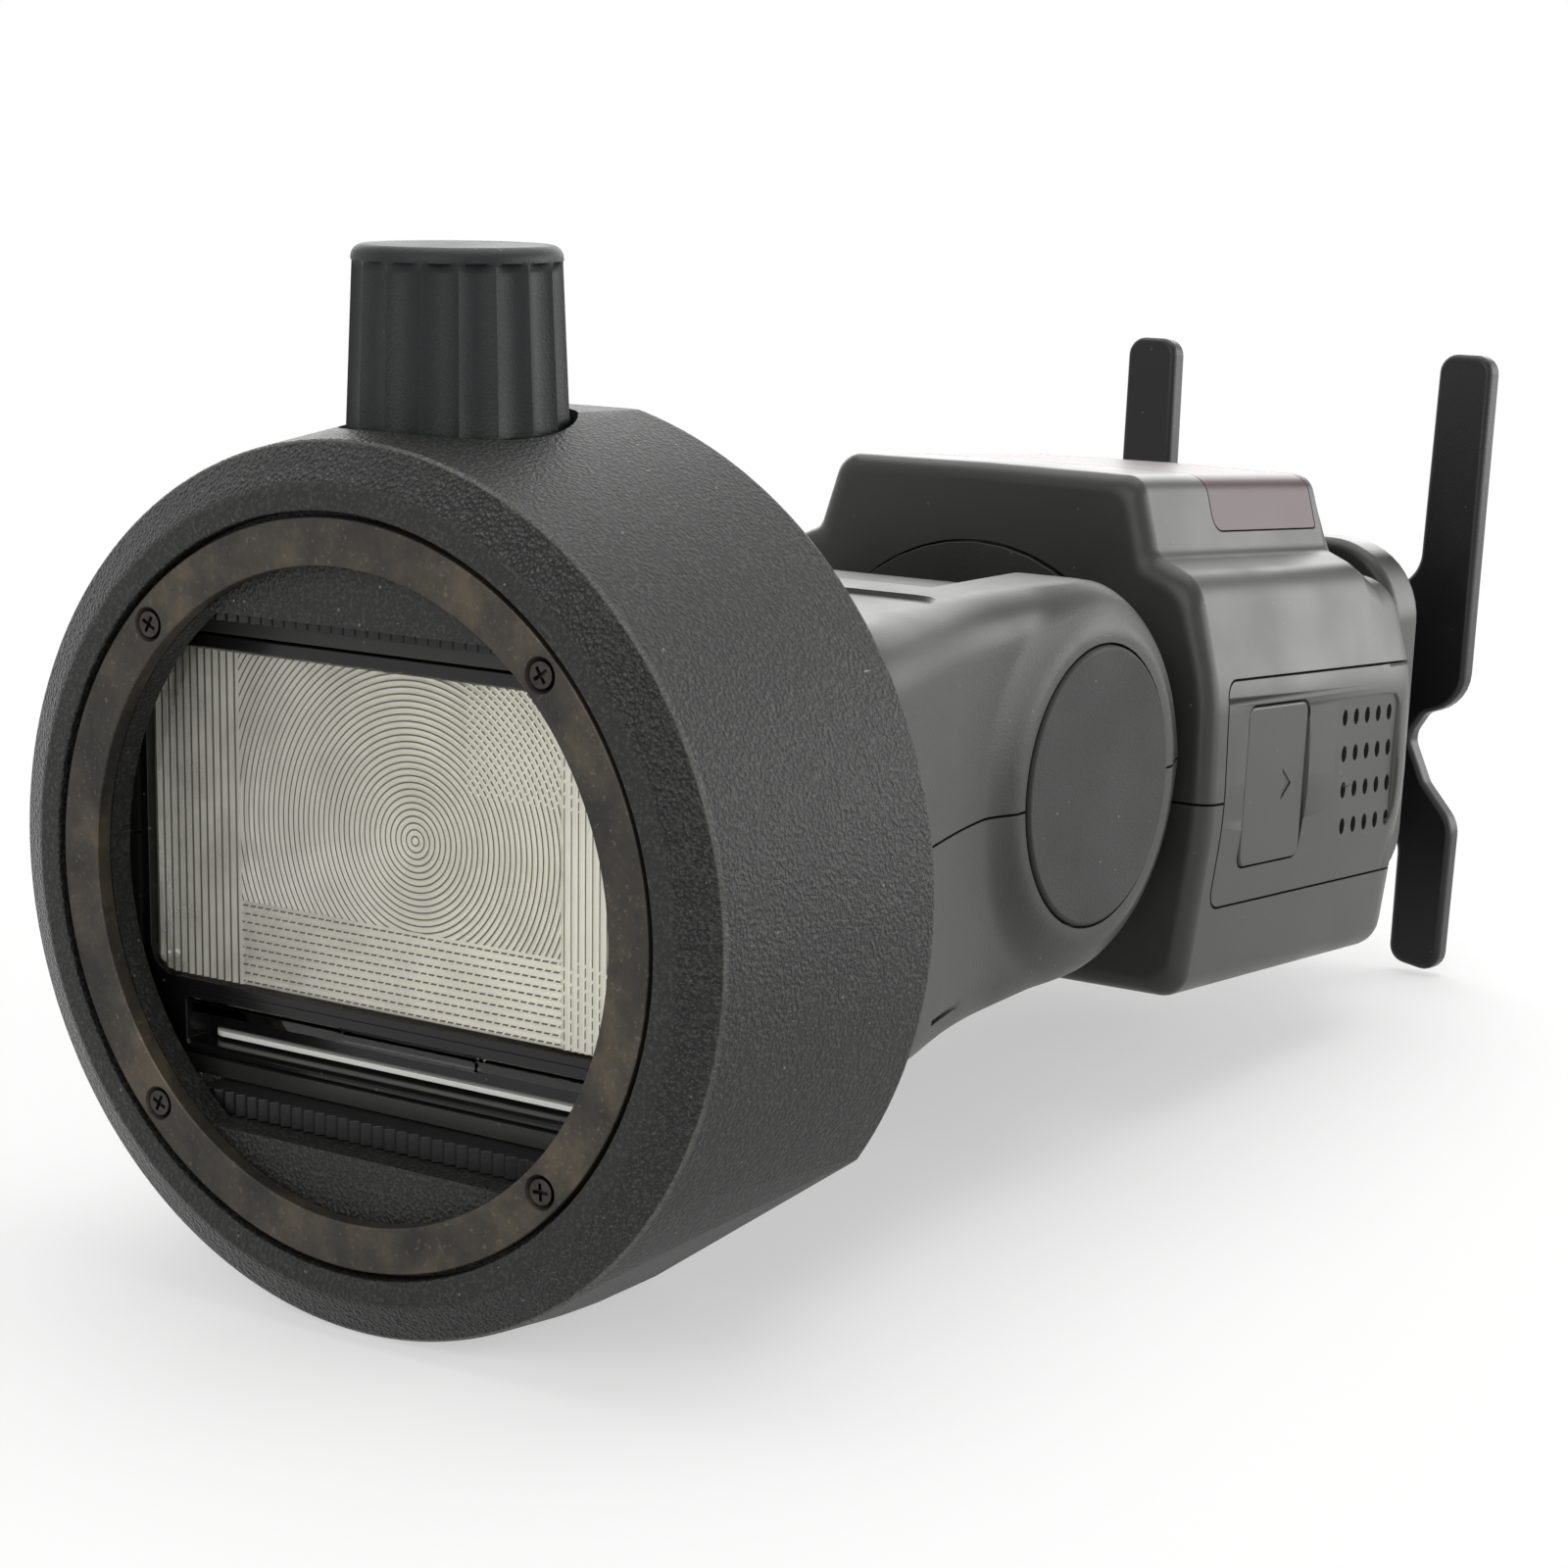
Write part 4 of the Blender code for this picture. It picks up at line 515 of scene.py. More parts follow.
# The ring's four screws.
# Countersunk steel screws of 1.6 mm with a cross recess, blacked in hot oxide and screwed into the nylon;
# the driver has rubbed them brighter in blotches.
def rubbed_metal(name, dark, light, size, detail, roughness, metallic=1.0):
    """Metal between two tones, in blotches of the given size in mm."""
    made, tree, place = material(name)
    blotches = add_node(tree, "TexNoise", {"Vector": place, "Scale": 1 / (size * MM), "Detail": detail})
    tone = add_node(tree, "Mix", {"Factor": blotches, "A": dark, "B": light}, data_type="RGBA")
    shader = add_node(tree, "BsdfPrincipled", {
        "Base Color": tone, "Roughness": roughness, "Metallic": metallic})
    add_node(tree, "OutputMaterial", {"Surface": shader})
    return made


SCREW_HEAD_R = 1.5
SCREW_R = 0.8
CROSS_HALF = 0.9
CROSS_WIDE = 0.19
CROSS_DEEP = 0.7
black_oxide = rubbed_metal("black_oxide_steel", "#191817", "#4a4641", 0.8, 3.0, 0.38, 0.8)
for number, (y, z) in enumerate(SCREW_PLACES, 1):
    screw = turn("screw", fillet([
        (RING_FRONT + 0.08, 0, 0), (RING_FRONT + 0.1, SCREW_HEAD_R, 0.12), (1.1, SCREW_R, 0),
        (5.6, SCREW_R, 0.2), (5.6, 0, 0)], 3), 32, "X", (0, y, z))
    cross = block("cross", (0, RING_FRONT + CROSS_DEEP), (y - CROSS_HALF, y + CROSS_HALF),
                  (z - CROSS_WIDE, z + CROSS_WIDE))
    join(cross, block("bar", (0, RING_FRONT + CROSS_DEEP), (y - CROSS_WIDE, y + CROSS_WIDE),
                      (z - CROSS_HALF, z + CROSS_HALF)))
    # The crosses stand at different turns, as the screws were left.
    cross.data.transform(Matrix.Translation((0, y, z)) @ Matrix.Rotation(0.5 * number, 4, "X")
                         @ Matrix.Translation((0, -y, -z)))
    cut(screw, cross)
    settle(soften(screw, smooth=35), HEAD, "ring_screw_%d" % number, black_oxide)


# The clamp's knob.
# Satin black ABS with eighteen hollow flutes, moulded round the steel stud; the flutes run out in scooped
# ends below a smooth rounded rim.
def skin(name, sections):
    """A closed form through rings that all have the same number of points, with flat ends."""
    count = len(sections[0])
    deselect()
    bpy.ops.mesh.primitive_grid_add(x_subdivisions=count, y_subdivisions=len(sections) - 1)
    piece = bpy.context.object
    piece.name = name
    places = [point for section in sections for point in list(section) + [section[0]]]
    for vertex, point in zip(piece.data.vertices, places):
        vertex.co = point
    edit()
    bpy.ops.mesh.remove_doubles(threshold=0.0005)
    bpy.ops.mesh.select_all(action="DESELECT")
    bpy.ops.mesh.select_mode(type="EDGE")
    bpy.ops.mesh.select_non_manifold()
    bpy.ops.mesh.fill_holes(sides=0)
    close_up()
    return piece


def ridged(radius, depth, count, steps, power=1.0):
    """Points round a circle with a count of hollows of the given depth, each drawn in steps."""
    points = []
    for k in range(count * steps):
        turned = 2 * math.pi * k / (count * steps)
        near = radius - depth * (0.5 - 0.5 * math.cos(turned * count)) ** power
        points.append((near * math.cos(turned), near * math.sin(turned)))
    return points


KNOB_LOW = 45.0
KNOB_HIGH = 63.4
KNOB_TOP_R = 10.5
FLUTES = 18
FLUTE_DEPTH = 0.75
RIM_ROUND = 1.2


def knob_ring(z):
    share = (z - KNOB_LOW) / (KNOB_HIGH - KNOB_LOW)
    radius = KNOB_BOTTOM_R + (KNOB_TOP_R - KNOB_BOTTOM_R) * share
    into_rim = max(0.0, z - (KNOB_HIGH - RIM_ROUND)) / RIM_ROUND
    radius -= RIM_ROUND * (1 - math.sqrt(max(0.0, 1 - into_rim ** 2)))
    scoop_end = KNOB_HIGH - RIM_ROUND - 0.3
    deep = min(1.0, max(0.0, (scoop_end - z) / 0.9)) ** 0.6
    return [(CLAMP_X + x, y, z) for x, y in ridged(radius, FLUTE_DEPTH * deep, FLUTES, 12, 0.375)]


knob_levels = [KNOB_LOW, KNOB_LOW + 0.3] + [KNOB_LOW + 1 + 2.5 * k for k in range(6)]
knob_levels += [KNOB_HIGH - down for down in (2.8, 2.5, 2.3, 2.1, 1.9, 1.7, 1.5, 1.2)]
knob_levels += [KNOB_HIGH - RIM_ROUND * (1 - math.sin(math.radians(a))) for a in (15, 30, 45, 60, 72, 83, 90)]
knob = skin("knob", [knob_ring(z) for z in knob_levels])
cut(knob, rod("stud_bore", "Z", clamp_at, KNOB_LOW - 2, KNOB_LOW + 8.4, 2.7, sides=32))
settle(soften(knob, smooth=38), HEAD, "clamp_knob", moulded("moulded_satin_abs", "#111314", 0.5, 0.3, 0.05))


# Pads, pressure plate, stud and insert of the clamp.
# Toothed strips of neoprene grip the head above and below; the knob's steel stud turns in a brass insert
# that is pressed into the boss, and draws a blacked steel plate with it.
def refine(node, width, segments=3, smooth=40):
    """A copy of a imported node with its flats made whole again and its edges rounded, in millimetres."""
    source = frame["nodes"][node]
    piece = bpy.data.objects.new(node + "_copy", source.data.copy())
    bpy.context.scene.collection.objects.link(piece)
    piece.data.transform(Matrix.Scale(1 / MM, 4))
    choose(piece)
    bpy.ops.mesh.customdata_custom_splitnormals_clear()
    edit()
    bpy.ops.mesh.remove_doubles(threshold=0.003)
    bpy.ops.mesh.mark_sharp(clear=True)
    bpy.ops.mesh.dissolve_limited(angle_limit=math.radians(0.6))
    bpy.ops.object.mode_set(mode="OBJECT")
    return soften(piece, width, segments, smooth=smooth)


def saw(start, end, pitch, crest, depth, lean=0.75, land=0.0):
    """A row of ribs from start to end: (along, height) points whose crests lean to one side."""
    count = max(1, round((end - start) / pitch))
    step = (end - start) / count
    row = []
    for k in range(count):
        row.append((start + step * k, crest + depth))
        row.append((start + step * (k + lean) - land / 2, crest))
        if land:
            row.append((start + step * (k + lean) + land / 2, crest))
    return row + [(end, crest + depth)]


IN_METRES = Matrix.Scale(MM, 4)


def carry_over(node, width, finish, segments=3):
    """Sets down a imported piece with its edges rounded."""
    settle(refine(node, width, segments), IN_METRES, node, finish)


PAD_PITCH = 1.55
PAD_DEPTH = 0.55
neoprene = moulded("moulded_neoprene", "#1d1d1e", 0.42, 0.3, 0.03)
bare_steel, tree, place = material("bare_machined_steel")
# Tool marks about 0.1 mm apart, drawn three times as wide so that they show.
marks = add_node(tree, "TexNoise", {"Vector": place, "Scale": 1 / (0.3 * MM), "Detail": 3.0})
marks_bump = add_node(tree, "Bump", {"Strength": 0.5, "Distance": 0.01 * MM, "Height": marks})
stain = add_node(tree, "TexNoise", {"Vector": place, "Scale": 1 / (5 * MM), "Detail": 4.0})
steel_tone = add_node(tree, "Mix", {"Factor": stain, "A": "#8f8f8d", "B": "#b4b4b1"}, data_type="RGBA")
steel_rough = add_node(tree, "MapRange", {"Value": stain, "To Min": 0.24, "To Max": 0.42})
shader = add_node(tree, "BsdfPrincipled", {
    "Base Color": steel_tone, "Roughness": steel_rough, "Metallic": 1.0, "Normal": marks_bump})
add_node(tree, "OutputMaterial", {"Surface": shader})
turned_brass = rubbed_metal("turned_brass", "#a8843c", "#d9bc74", 2, 4.0, 0.3)
for node in ("lower_pad", "clamp_pad"):
    pad_low, pad_high = [(corner - HEAD.translation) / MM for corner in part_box(node)]
    teeth = [(x, y) for y, x in saw(pad_low.y, pad_high.y, PAD_PITCH, pad_low.x, PAD_DEPTH, 0.5)]
    pad = slab(node, "Z", teeth + [(pad_high.x, pad_high.y), (pad_high.x, pad_low.y)], pad_low.z, pad_high.z)
    settle(soften(pad, 0.1, 2), HEAD, node, neoprene)
carry_over("clamp_plate", 0.25, black_oxide)
carry_over("clamp_stud", 0.15, bare_steel)
carry_over("nut_insert", 0.2, turned_brass)


# The head's two shells.
# Polycarbonate, moulded in a top and a bottom half that meet at a seam on the sides; the sides swell into
# round bosses over the tilt hinge, and the top has a shallow sunk panel.
HEAD_FRONT = 9.5
HEAD_TOP = 25.0
HEAD_BOTTOM = -24.3
HEAD_WALL = 1.8
HEAD_SEAM_Z = 0.6
SEAM_HALF = 0.15
NECK_HALF = 20.3
EAR_R = 23.5
BOSS_HALF = 33.0
BOSS_R = 18.4
CAP_R = 16.3


def head_half(x):
    share = min(1.0, max(0.0, (x - 34.0) / (76.0 - 34.0)))
    return 38.0 - (38.0 - 31.2) * share * share * (3 - 2 * share)


def soft_greater(a, b, blend):
    """The greater of two numbers, with a rounded change from one to the other."""
    near = max(blend - abs(a - b), 0.0) / blend
    return max(a, b) + near * near * blend / 4


def head_ring(x, low, high, wall, boss):
    """The head's outline across X; its flanks rise into the boss where that is asked for."""
    half = head_half(x) - wall
    share = min(1.0, max(0.0, (x - HEAD_FRONT) / (HINGE_X - HEAD_FRONT)))
    corner = min(8.0 - 3.5 * share - wall, (high - low) / 2 - 0.5)
    steps, flank = 8, 36
    round_off = [(corner * math.sin(a), corner * math.cos(a))
                 for a in [math.radians(90 * k / steps) for k in range(steps + 1)]]
    right = [(half - corner + y, high - corner + z) for y, z in round_off]
    right += [(half, high - corner - (high - low - 2 * corner) * k / flank) for k in range(1, flank)]
    right += [(half - corner + y, low + corner - z) for z, y in round_off]
    if boss:
        risen = []
        for place, (y, z) in enumerate(right):
            away = math.hypot(x - HINGE_X, z - HINGE_Z)
            cone = BOSS_HALF - max(0.0, away - BOSS_R) * 0.69 - max(0.0, away - 21.0) ** 2 * 0.2
            edge = place in (0, len(right) - 1)
            risen.append((y if edge else max(y, min(soft_greater(y, cone, 2.4), BOSS_HALF)), z))
        right = risen
    return [(x, y, z) for y, z in right] + [(x, -y, z) for y, z in reversed(right)]


def head_form(name, wall=0.0):
    """The head's skin, or its hollow with a wall; round about the tilt hinge at the back."""
    radius = EAR_R - wall
    stations = [HEAD_FRONT - 1.0 if wall else HEAD_FRONT, 34.0, 38.0, 42.0, 46.0, 50.0, 55.0, 60.0, 64.0]
    stations += [66.0 + k for k in range(28)]
    sections = []
    for x in stations:
        share = max(0.0, (x - 55) / (HINGE_X - 55))
        low, high = HEAD_BOTTOM + wall, HEAD_TOP - wall
        sections.append(head_ring(x, low + (HINGE_Z - radius - low) * share,
                                  high + (HINGE_Z + radius - high) * share, wall, not wall))
    for degrees in range(0, 80, 3):
        rise = radius * math.cos(math.radians(degrees))
        sections.append(head_ring(HINGE_X + radius * math.sin(math.radians(degrees)), HINGE_Z - rise,
                                  HINGE_Z + rise, wall, not wall))
    return skin(name, sections)


moulded_head = moulded("moulded_polycarbonate_head", "#2b2c29", 0.38, 0.3, 0.03)
hinge = (HINGE_X, 0, HINGE_Z)
SLOT_X = HINGE_X - 17.0
for node, low, high in (("head_top_shell", HEAD_SEAM_Z + SEAM_HALF, FAR),
                        ("head_bottom_shell", -FAR, HEAD_SEAM_Z - SEAM_HALF)):
    shell = keep(head_form(node), block("half", (-10, HINGE_X + 40), (-FAR, FAR), (low, high)))
    cut(shell, head_form("hollow", HEAD_WALL),
        rod("cap_seat", "Y", hinge, BOSS_HALF - 1.6, BOSS_HALF + 3, CAP_R + 0.3, sides=96),
        rod("cap_seat", "Y", hinge, -BOSS_HALF - 3, -BOSS_HALF + 1.6, CAP_R + 0.3, sides=96),
        block("neck_way", (HINGE_X - 22.1, SLOT_X + 0.1), (-NECK_HALF, NECK_HALF), (-FAR, 13.6)),
        block("neck_mouth", (SLOT_X, HINGE_X + 40), (-NECK_HALF, NECK_HALF), (-FAR, FAR)))
    if node == "head_top_shell":
        # A wall closes the head's inside off from the slot that the neck tilts in.
        join(shell, block("slot_wall", (SLOT_X - 1.6, SLOT_X), (-NECK_HALF - 1.1, NECK_HALF + 1.1),
                          (15.6, HEAD_TOP - 1.2)))
        sunk = [[(x, y, HEAD_TOP - 0.7 + rise * 1.4) for x, y in fillet(
            rounded((36.0 - rise, 70.0 + rise), (-27.0 - rise, 27.0 + rise), 5.0))] for rise in (0.0, 1.2)]
        cut(shell, skin("sunk_panel", sunk))
    else:
        cut(shell, block("latch_line", (56.5, 70.0), (-40, -head_half(63) + 0.5), (-19.3, -18.7)))
    settle(soften(shell, smooth=30), HEAD, node, moulded_head)


# Caps over the hinge screws.
# Soft matt rubber discs, pressed into round seats on both bosses, with a narrow rounded rim.
cap_rubber = moulded("moulded_cap_rubber", "#212120", 0.6, 0.25, 0.05, dusty=0.4)
for node, side in (("hinge_cap_left", 1), ("hinge_cap_right", -1)):
    inner, outer = side * (BOSS_HALF - 1.5), side * (BOSS_HALF + 0.4)
    cap = turn(node, fillet([(inner, 0, 0), (inner, CAP_R, 0.1), (outer, CAP_R, 0.55), (outer, 0, 0)], 5),
               128, "Y", hinge)
    settle(soften(cap, smooth=35), HEAD, node, cap_rubber)


# Lens frame and tray.
# Glossy black ABS; the tray behind it holds the wide panel and the bounce card, whose front edges lie in
# a common mouth below the lens.
LENS_HALF = 34.6
LENS_LOW = -14.0
LENS_HIGH = 21.2
PANEL_Z = -17.5
PANEL_HALF = 29.5
CARD_Z = -20.6
CARD_HALF = 29.0
SLIDE_END = 50.2
FRAME_FRONT = HEAD_FRONT + 0.2
FRAME_BACK = FRAME_FRONT + 5.0
CUT_FRONT = FRAME_FRONT - 1.2
FRAME_HALF = 35.85
LENS_GAP = 0.3
lens_frame = slab("lens_frame", "X", fillet(rounded((-FRAME_HALF, FRAME_HALF), (-22.2, 22.9), 6.2)),
                  FRAME_FRONT, FRAME_BACK)
lens_hole = rounded((-LENS_HALF - LENS_GAP, LENS_HALF + LENS_GAP),
                    (LENS_LOW - LENS_GAP, LENS_HIGH + LENS_GAP), 3)
cut(lens_frame, slab("lens_hole", "X", fillet(lens_hole), CUT_FRONT, FRAME_BACK + 1))
soften(lens_frame, 0.5)
tray = fillet(rounded((-PANEL_HALF - 1.2, PANEL_HALF + 1.2), (-22.1, -15.0), 1.6))
join(lens_frame, slab("tray", "X", tray, FRAME_BACK - 1, SLIDE_END + 1.8))
MOUTH_HALF = PANEL_HALF + 0.1
mouth = [[(x, y, z) for y, z in fillet(rounded(
    (-MOUTH_HALF - grow, MOUTH_HALF + grow), (CARD_Z - 0.6 - grow, PANEL_Z + 0.8 + grow), 0.6), 4)]
    for x, grow in ((12.6, 0.0), (10.2, 0.1), (9.4, 0.6))]
for half, z, room in ((PANEL_HALF + 0.3, PANEL_Z, 0.8), (CARD_HALF + 0.3, CARD_Z, 0.6)):
    cut(lens_frame, block("slot", (CUT_FRONT, SLIDE_END + 0.6), (-half, half), (z - room, z + room)))
cut(lens_frame, skin("mouth", mouth))
# Two fine ribs run across the frame below the mouth and above it.
for z in (-15.4, -21.9):
    join(lens_frame, slab("rib", "X", fillet(rounded((-30.5, 30.5), (z - 0.18, z + 0.18), 0.15), 3),
                          FRAME_FRONT - 0.15, FRAME_FRONT + 1))
settle(soften(lens_frame, smooth=30), HEAD, "lens_frame",
       moulded("moulded_gloss_abs", "#141414", 0.22, 0.6, 0.004, dusty=0.35))


# The Fresnel lens.
# Clear acrylic, injection moulded against a diamond-turned insert: rings round the lamp's axis in the
# middle, upright ribs at both ends and level ribs along the bottom, with slanting grooves across some.
LENS_FRONT = 10.3
LENS_BACK = 12.3
GROOVE = 0.28
RING_PITCH = 0.69
LENS_MID_Y = -1.4
LENS_MID_Z = 4.5
ZONE_LEFT = 22.2
ZONE_RIGHT = -19.8
ZONE_BOTTOM = -4.9
LAND = 0.17
FIELD = LENS_FRONT + GROOVE + 0.25
lens_outline = fillet(rounded((-LENS_HALF, LENS_HALF), (LENS_LOW, LENS_HIGH), 2.7))
lens = slab("lens", "X", lens_outline, FIELD, LENS_BACK)
RINGS_R = 46.0
ring_line = [(x, r) for r, x in saw(0.0, RINGS_R, RING_PITCH, LENS_FRONT, GROOVE, 0.7, LAND)]
relief = turn("rings", ring_line + [(FIELD + 0.1, RINGS_R), (FIELD + 0.1, 0.0)], 144, "X",
              (0, LENS_MID_Y, LENS_MID_Z))
keep(relief, block("zone", (0, 20), (ZONE_RIGHT, ZONE_LEFT), (ZONE_BOTTOM, LENS_HIGH)))
for field, axis, start, end, pitch, lean, land, low, high in (
        ("left_ribs", "Z", ZONE_LEFT, LENS_HALF, 1.05, 0.6, 0.26, LENS_LOW, LENS_HIGH),
        ("right_ribs", "Z", -LENS_HALF, ZONE_RIGHT, 0.85, 0.5, 0.14, LENS_LOW, LENS_HIGH),
        ("low_ribs", "Y", LENS_LOW, ZONE_BOTTOM, 0.92, 0.5, 0.2, ZONE_RIGHT, ZONE_LEFT)):
    line = [(x, side) for side, x in saw(start, end, pitch, LENS_FRONT, GROOVE, lean, land)]
    join(relief, slab(field, axis, line + [(FIELD + 0.1, end), (FIELD + 0.1, start)], low, high))
keep(relief, slab("trim", "X", lens_outline, 5, 20))
join(lens, relief)
# Slanting grooves cross the ribs in the bottom field and at the top right, which gives a hatched look.
SLANT = math.radians(40)
line = [(x, y) for y, x in saw(-FAR, FAR, 0.8, LENS_FRONT - 0.3, 0.42, 0.5)]
for left, start, end in ((ZONE_LEFT, LENS_LOW, ZONE_BOTTOM), (-8.0, 10.0, LENS_HIGH)):
    slanted = slab("slanting_grooves", "Z", line + [(LENS_FRONT - 1, FAR), (LENS_FRONT - 1, -FAR)], -FAR, FAR)
    slanted.data.transform(Matrix.Rotation(SLANT, 4, "X"))
    cut(lens, keep(slanted, block("field", (0, 20), (-LENS_HALF, left), (start, end))))
clear_acrylic, tree, place = material("moulded_clear_acrylic")
haze = add_node(tree, "TexNoise", {"Vector": place, "Scale": 1 / (6 * MM), "Detail": 4.0})
haze_rough = add_node(tree, "MapRange", {"Value": haze, "To Min": 0.03, "To Max": 0.12})
shader = add_node(tree, "BsdfPrincipled", {
    "Base Color": "#fbfaf4", "Roughness": haze_rough, "IOR": 1.49, "Transmission Weight": 1.0})
milk = add_node(tree, "BsdfTranslucent", {"Color": "#f9f7ec"})
matt = add_node(tree, "BsdfDiffuse", {"Color": "#f8f6ea"})
milky = add_node(tree, "MixShader", {0: 0.85, 1: milk, 2: matt})
# The lens turns milky from a fifth at the left to nearly all of it at the right: painted light that makes the
# right side brighter. Faint clouds of dust behind the lens add to it.
painted_light_across = add_node(tree, "SeparateXYZ", {"Vector": place})
painted_light_across = add_node(tree, "MapRange", {
    "Value": painted_light_across.outputs["Y"], "From Min": 30 * MM, "From Max": -24 * MM, "To Min": 0.22, "To Max": 0.97})
dust_cloud = add_node(tree, "MapRange", {
    "Value": haze, "From Min": 0.35, "From Max": 0.65, "To Min": -0.03, "To Max": 0.08})
scatter_and_painted_light = add_node(tree, "Math", {0: painted_light_across, 1: dust_cloud}, operation="ADD")
# This mix carries the painted light across the lens as well as the dust.
dusty = add_node(tree, "MixShader", {0: scatter_and_painted_light, 1: shader, 2: milky})
add_node(tree, "OutputMaterial", {"Surface": dusty})
settle(soften(lens, smooth=12), HEAD, "fresnel_lens", clear_acrylic)
# The narrow lands between the front's grooves are painted dark grey: painted shade that draws the rings as fine
# dark lines.
lands_painted_dark, tree = material("acrylic_lands_painted_dark")[:2]
shader = add_node(tree, "BsdfPrincipled", {
    "Base Color": "#5b594f", "Roughness": 0.25, "IOR": 1.49, "Transmission Weight": 0.2})
add_node(tree, "OutputMaterial", {"Surface": shader})
lens.data.materials.append(lands_painted_dark)
land_x = (HEAD @ Vector((LENS_FRONT + 0.02, 0, 0))).x
for face in lens.data.polygons:
    if face.center.x < land_x and face.normal.x < -0.99:
        face.material_index = 1


# Wide panel and bounce card.
# The panel is clear acrylic with fine ribs across it and a thicker lip to pull it by; the card is a matt
# white sheet of styrene with rounded corners.
panel_top = [(10.9 + 0.6 * k, PANEL_Z + (0.5 if k % 2 else 0.38)) for k in range(64)]
wide_panel = slab("wide_panel", "Y", [
    (10.2, PANEL_Z - 0.5), (SLIDE_END, PANEL_Z - 0.5), (SLIDE_END, PANEL_Z + 0.5), *panel_top[::-1],
    (10.2, PANEL_Z + 0.5)], -PANEL_HALF, PANEL_HALF)
lip = [[(x, y, z) for y, z in fillet(rounded(
    (-9.5 + inset, 9.5 - inset), (PANEL_Z - 0.75 + inset, PANEL_Z + 0.7 - inset), 0.5), 5)]
    for x, inset in ((9.95, 0.2), (10.4, 0.0), (12.2, 0.1))]
join(wide_panel, skin("lip", lip))
panel_edge = fillet(rounded((9.0, SLIDE_END), (-PANEL_HALF, PANEL_HALF), 1.5))
keep(wide_panel, slab("corners", "Z", panel_edge, -25, -10))


def clear_plastic(name, colour, ior, passed, size, detail, least, most):
    """Transparent plastic, made duller by smears of the given size in mm."""
    made, tree, place = material(name)
    smear = add_node(tree, "TexNoise", {"Vector": place, "Scale": 1 / (size * MM), "Detail": detail})
    rough = add_node(tree, "MapRange", {"Value": smear, "To Min": least, "To Max": most})
    shader = add_node(tree, "BsdfPrincipled", {
        "Base Color": colour, "Roughness": rough, "IOR": ior, "Transmission Weight": passed})
    add_node(tree, "OutputMaterial", {"Surface": shader})
    return made


settle(soften(wide_panel, smooth=20), HEAD, "wide_panel",
       clear_plastic("moulded_ribbed_acrylic", "#f6f6f2", 1.49, 1.0, 3, 3.0, 0.0, 0.1))
card = slab("card", "Z", fillet(rounded((12.2, SLIDE_END), (-CARD_HALF, CARD_HALF), 2.0)),
            CARD_Z - 0.3, CARD_Z + 0.3)
settle(soften(card, 0.08, 2), HEAD, "bounce_card",
       moulded("pressed_white_styrene", "#ecece6", 0.45, 0.5, 0.004, dust="#c9c7bd"))


# The zooming lamp unit.
# A trough of bright anodised aluminium sheet holds a xenon tube of quartz glass; a nylon carriage carries
# both along a steel lead screw that a small can motor turns.
REFLECTOR_FRONT = 24.0
REFLECTOR_DEEP = 20.0
REFLECTOR_HALF_Z = 14.5
REFLECTOR_HALF_Y = 28.8
LAMP_Z = 3.6
FOCAL = REFLECTOR_HALF_Z ** 2 / (4 * REFLECTOR_DEEP)
REFLECTOR_BACK = REFLECTOR_FRONT + REFLECTOR_DEEP


def trough(offset, steps=24):
    """The reflector's parabola across Y, moved outwards by an offset."""
    line = []
    for k in range(-steps, steps + 1):
        z = REFLECTOR_HALF_Z * k / steps
        slope = z / (2 * FOCAL)
        length = math.hypot(1, slope)
        line.append((REFLECTOR_BACK - z * z / (4 * FOCAL) + offset / length,
                     LAMP_Z + z + offset * slope / length))
    return line


SHEET = 0.8
reflector = slab("reflector", "Y", trough(SHEET), -REFLECTOR_HALF_Y - SHEET, REFLECTOR_HALF_Y + SHEET)
hollow_line = trough(0)
hollow_line.insert(0, (REFLECTOR_FRONT - 3, hollow_line[0][1]))
hollow_line.append((REFLECTOR_FRONT - 3, hollow_line[-1][1]))
FOCUS_X = REFLECTOR_BACK - FOCAL - 1
cut(reflector, slab("trough", "Y", hollow_line, -REFLECTOR_HALF_Y, REFLECTOR_HALF_Y),
    rod("tube_holes", "Y", (FOCUS_X, 0, LAMP_Z), -40, 40, 2.5, sides=24))
bright_aluminium, tree, place = material("bright_anodised_aluminium")
dapple = add_node(tree, "TexNoise", {"Vector": place, "Scale": 1 / (1.6 * MM)})
dapple_bump = add_node(tree, "Bump", {"Strength": 0.5, "Distance": 0.06 * MM, "Height": dapple})
shader = add_node(tree, "BsdfPrincipled", {
    "Base Color": "#e8e7e1", "Roughness": 0.16, "Metallic": 1.0, "Normal": dapple_bump})
add_node(tree, "OutputMaterial", {"Surface": shader})
settle(soften(reflector, smooth=30), HEAD, "reflector", bright_aluminium)
TUBE_HALF = 30.8
TUBE_R = 2.2
tube = turn("tube", fillet([(-TUBE_HALF, 0, 0), (-TUBE_HALF, TUBE_R, 0.9), (TUBE_HALF, TUBE_R, 0.9),
                            (TUBE_HALF, 0, 0)], 5), 40, "Y", (FOCUS_X, 0, LAMP_Z))
quartz, tree, place = material("drawn_quartz_glass")
ends = add_node(tree, "SeparateXYZ", {"Vector": place})
ends = add_node(tree, "Math", {0: ends.outputs["Y"]}, operation="ABSOLUTE")
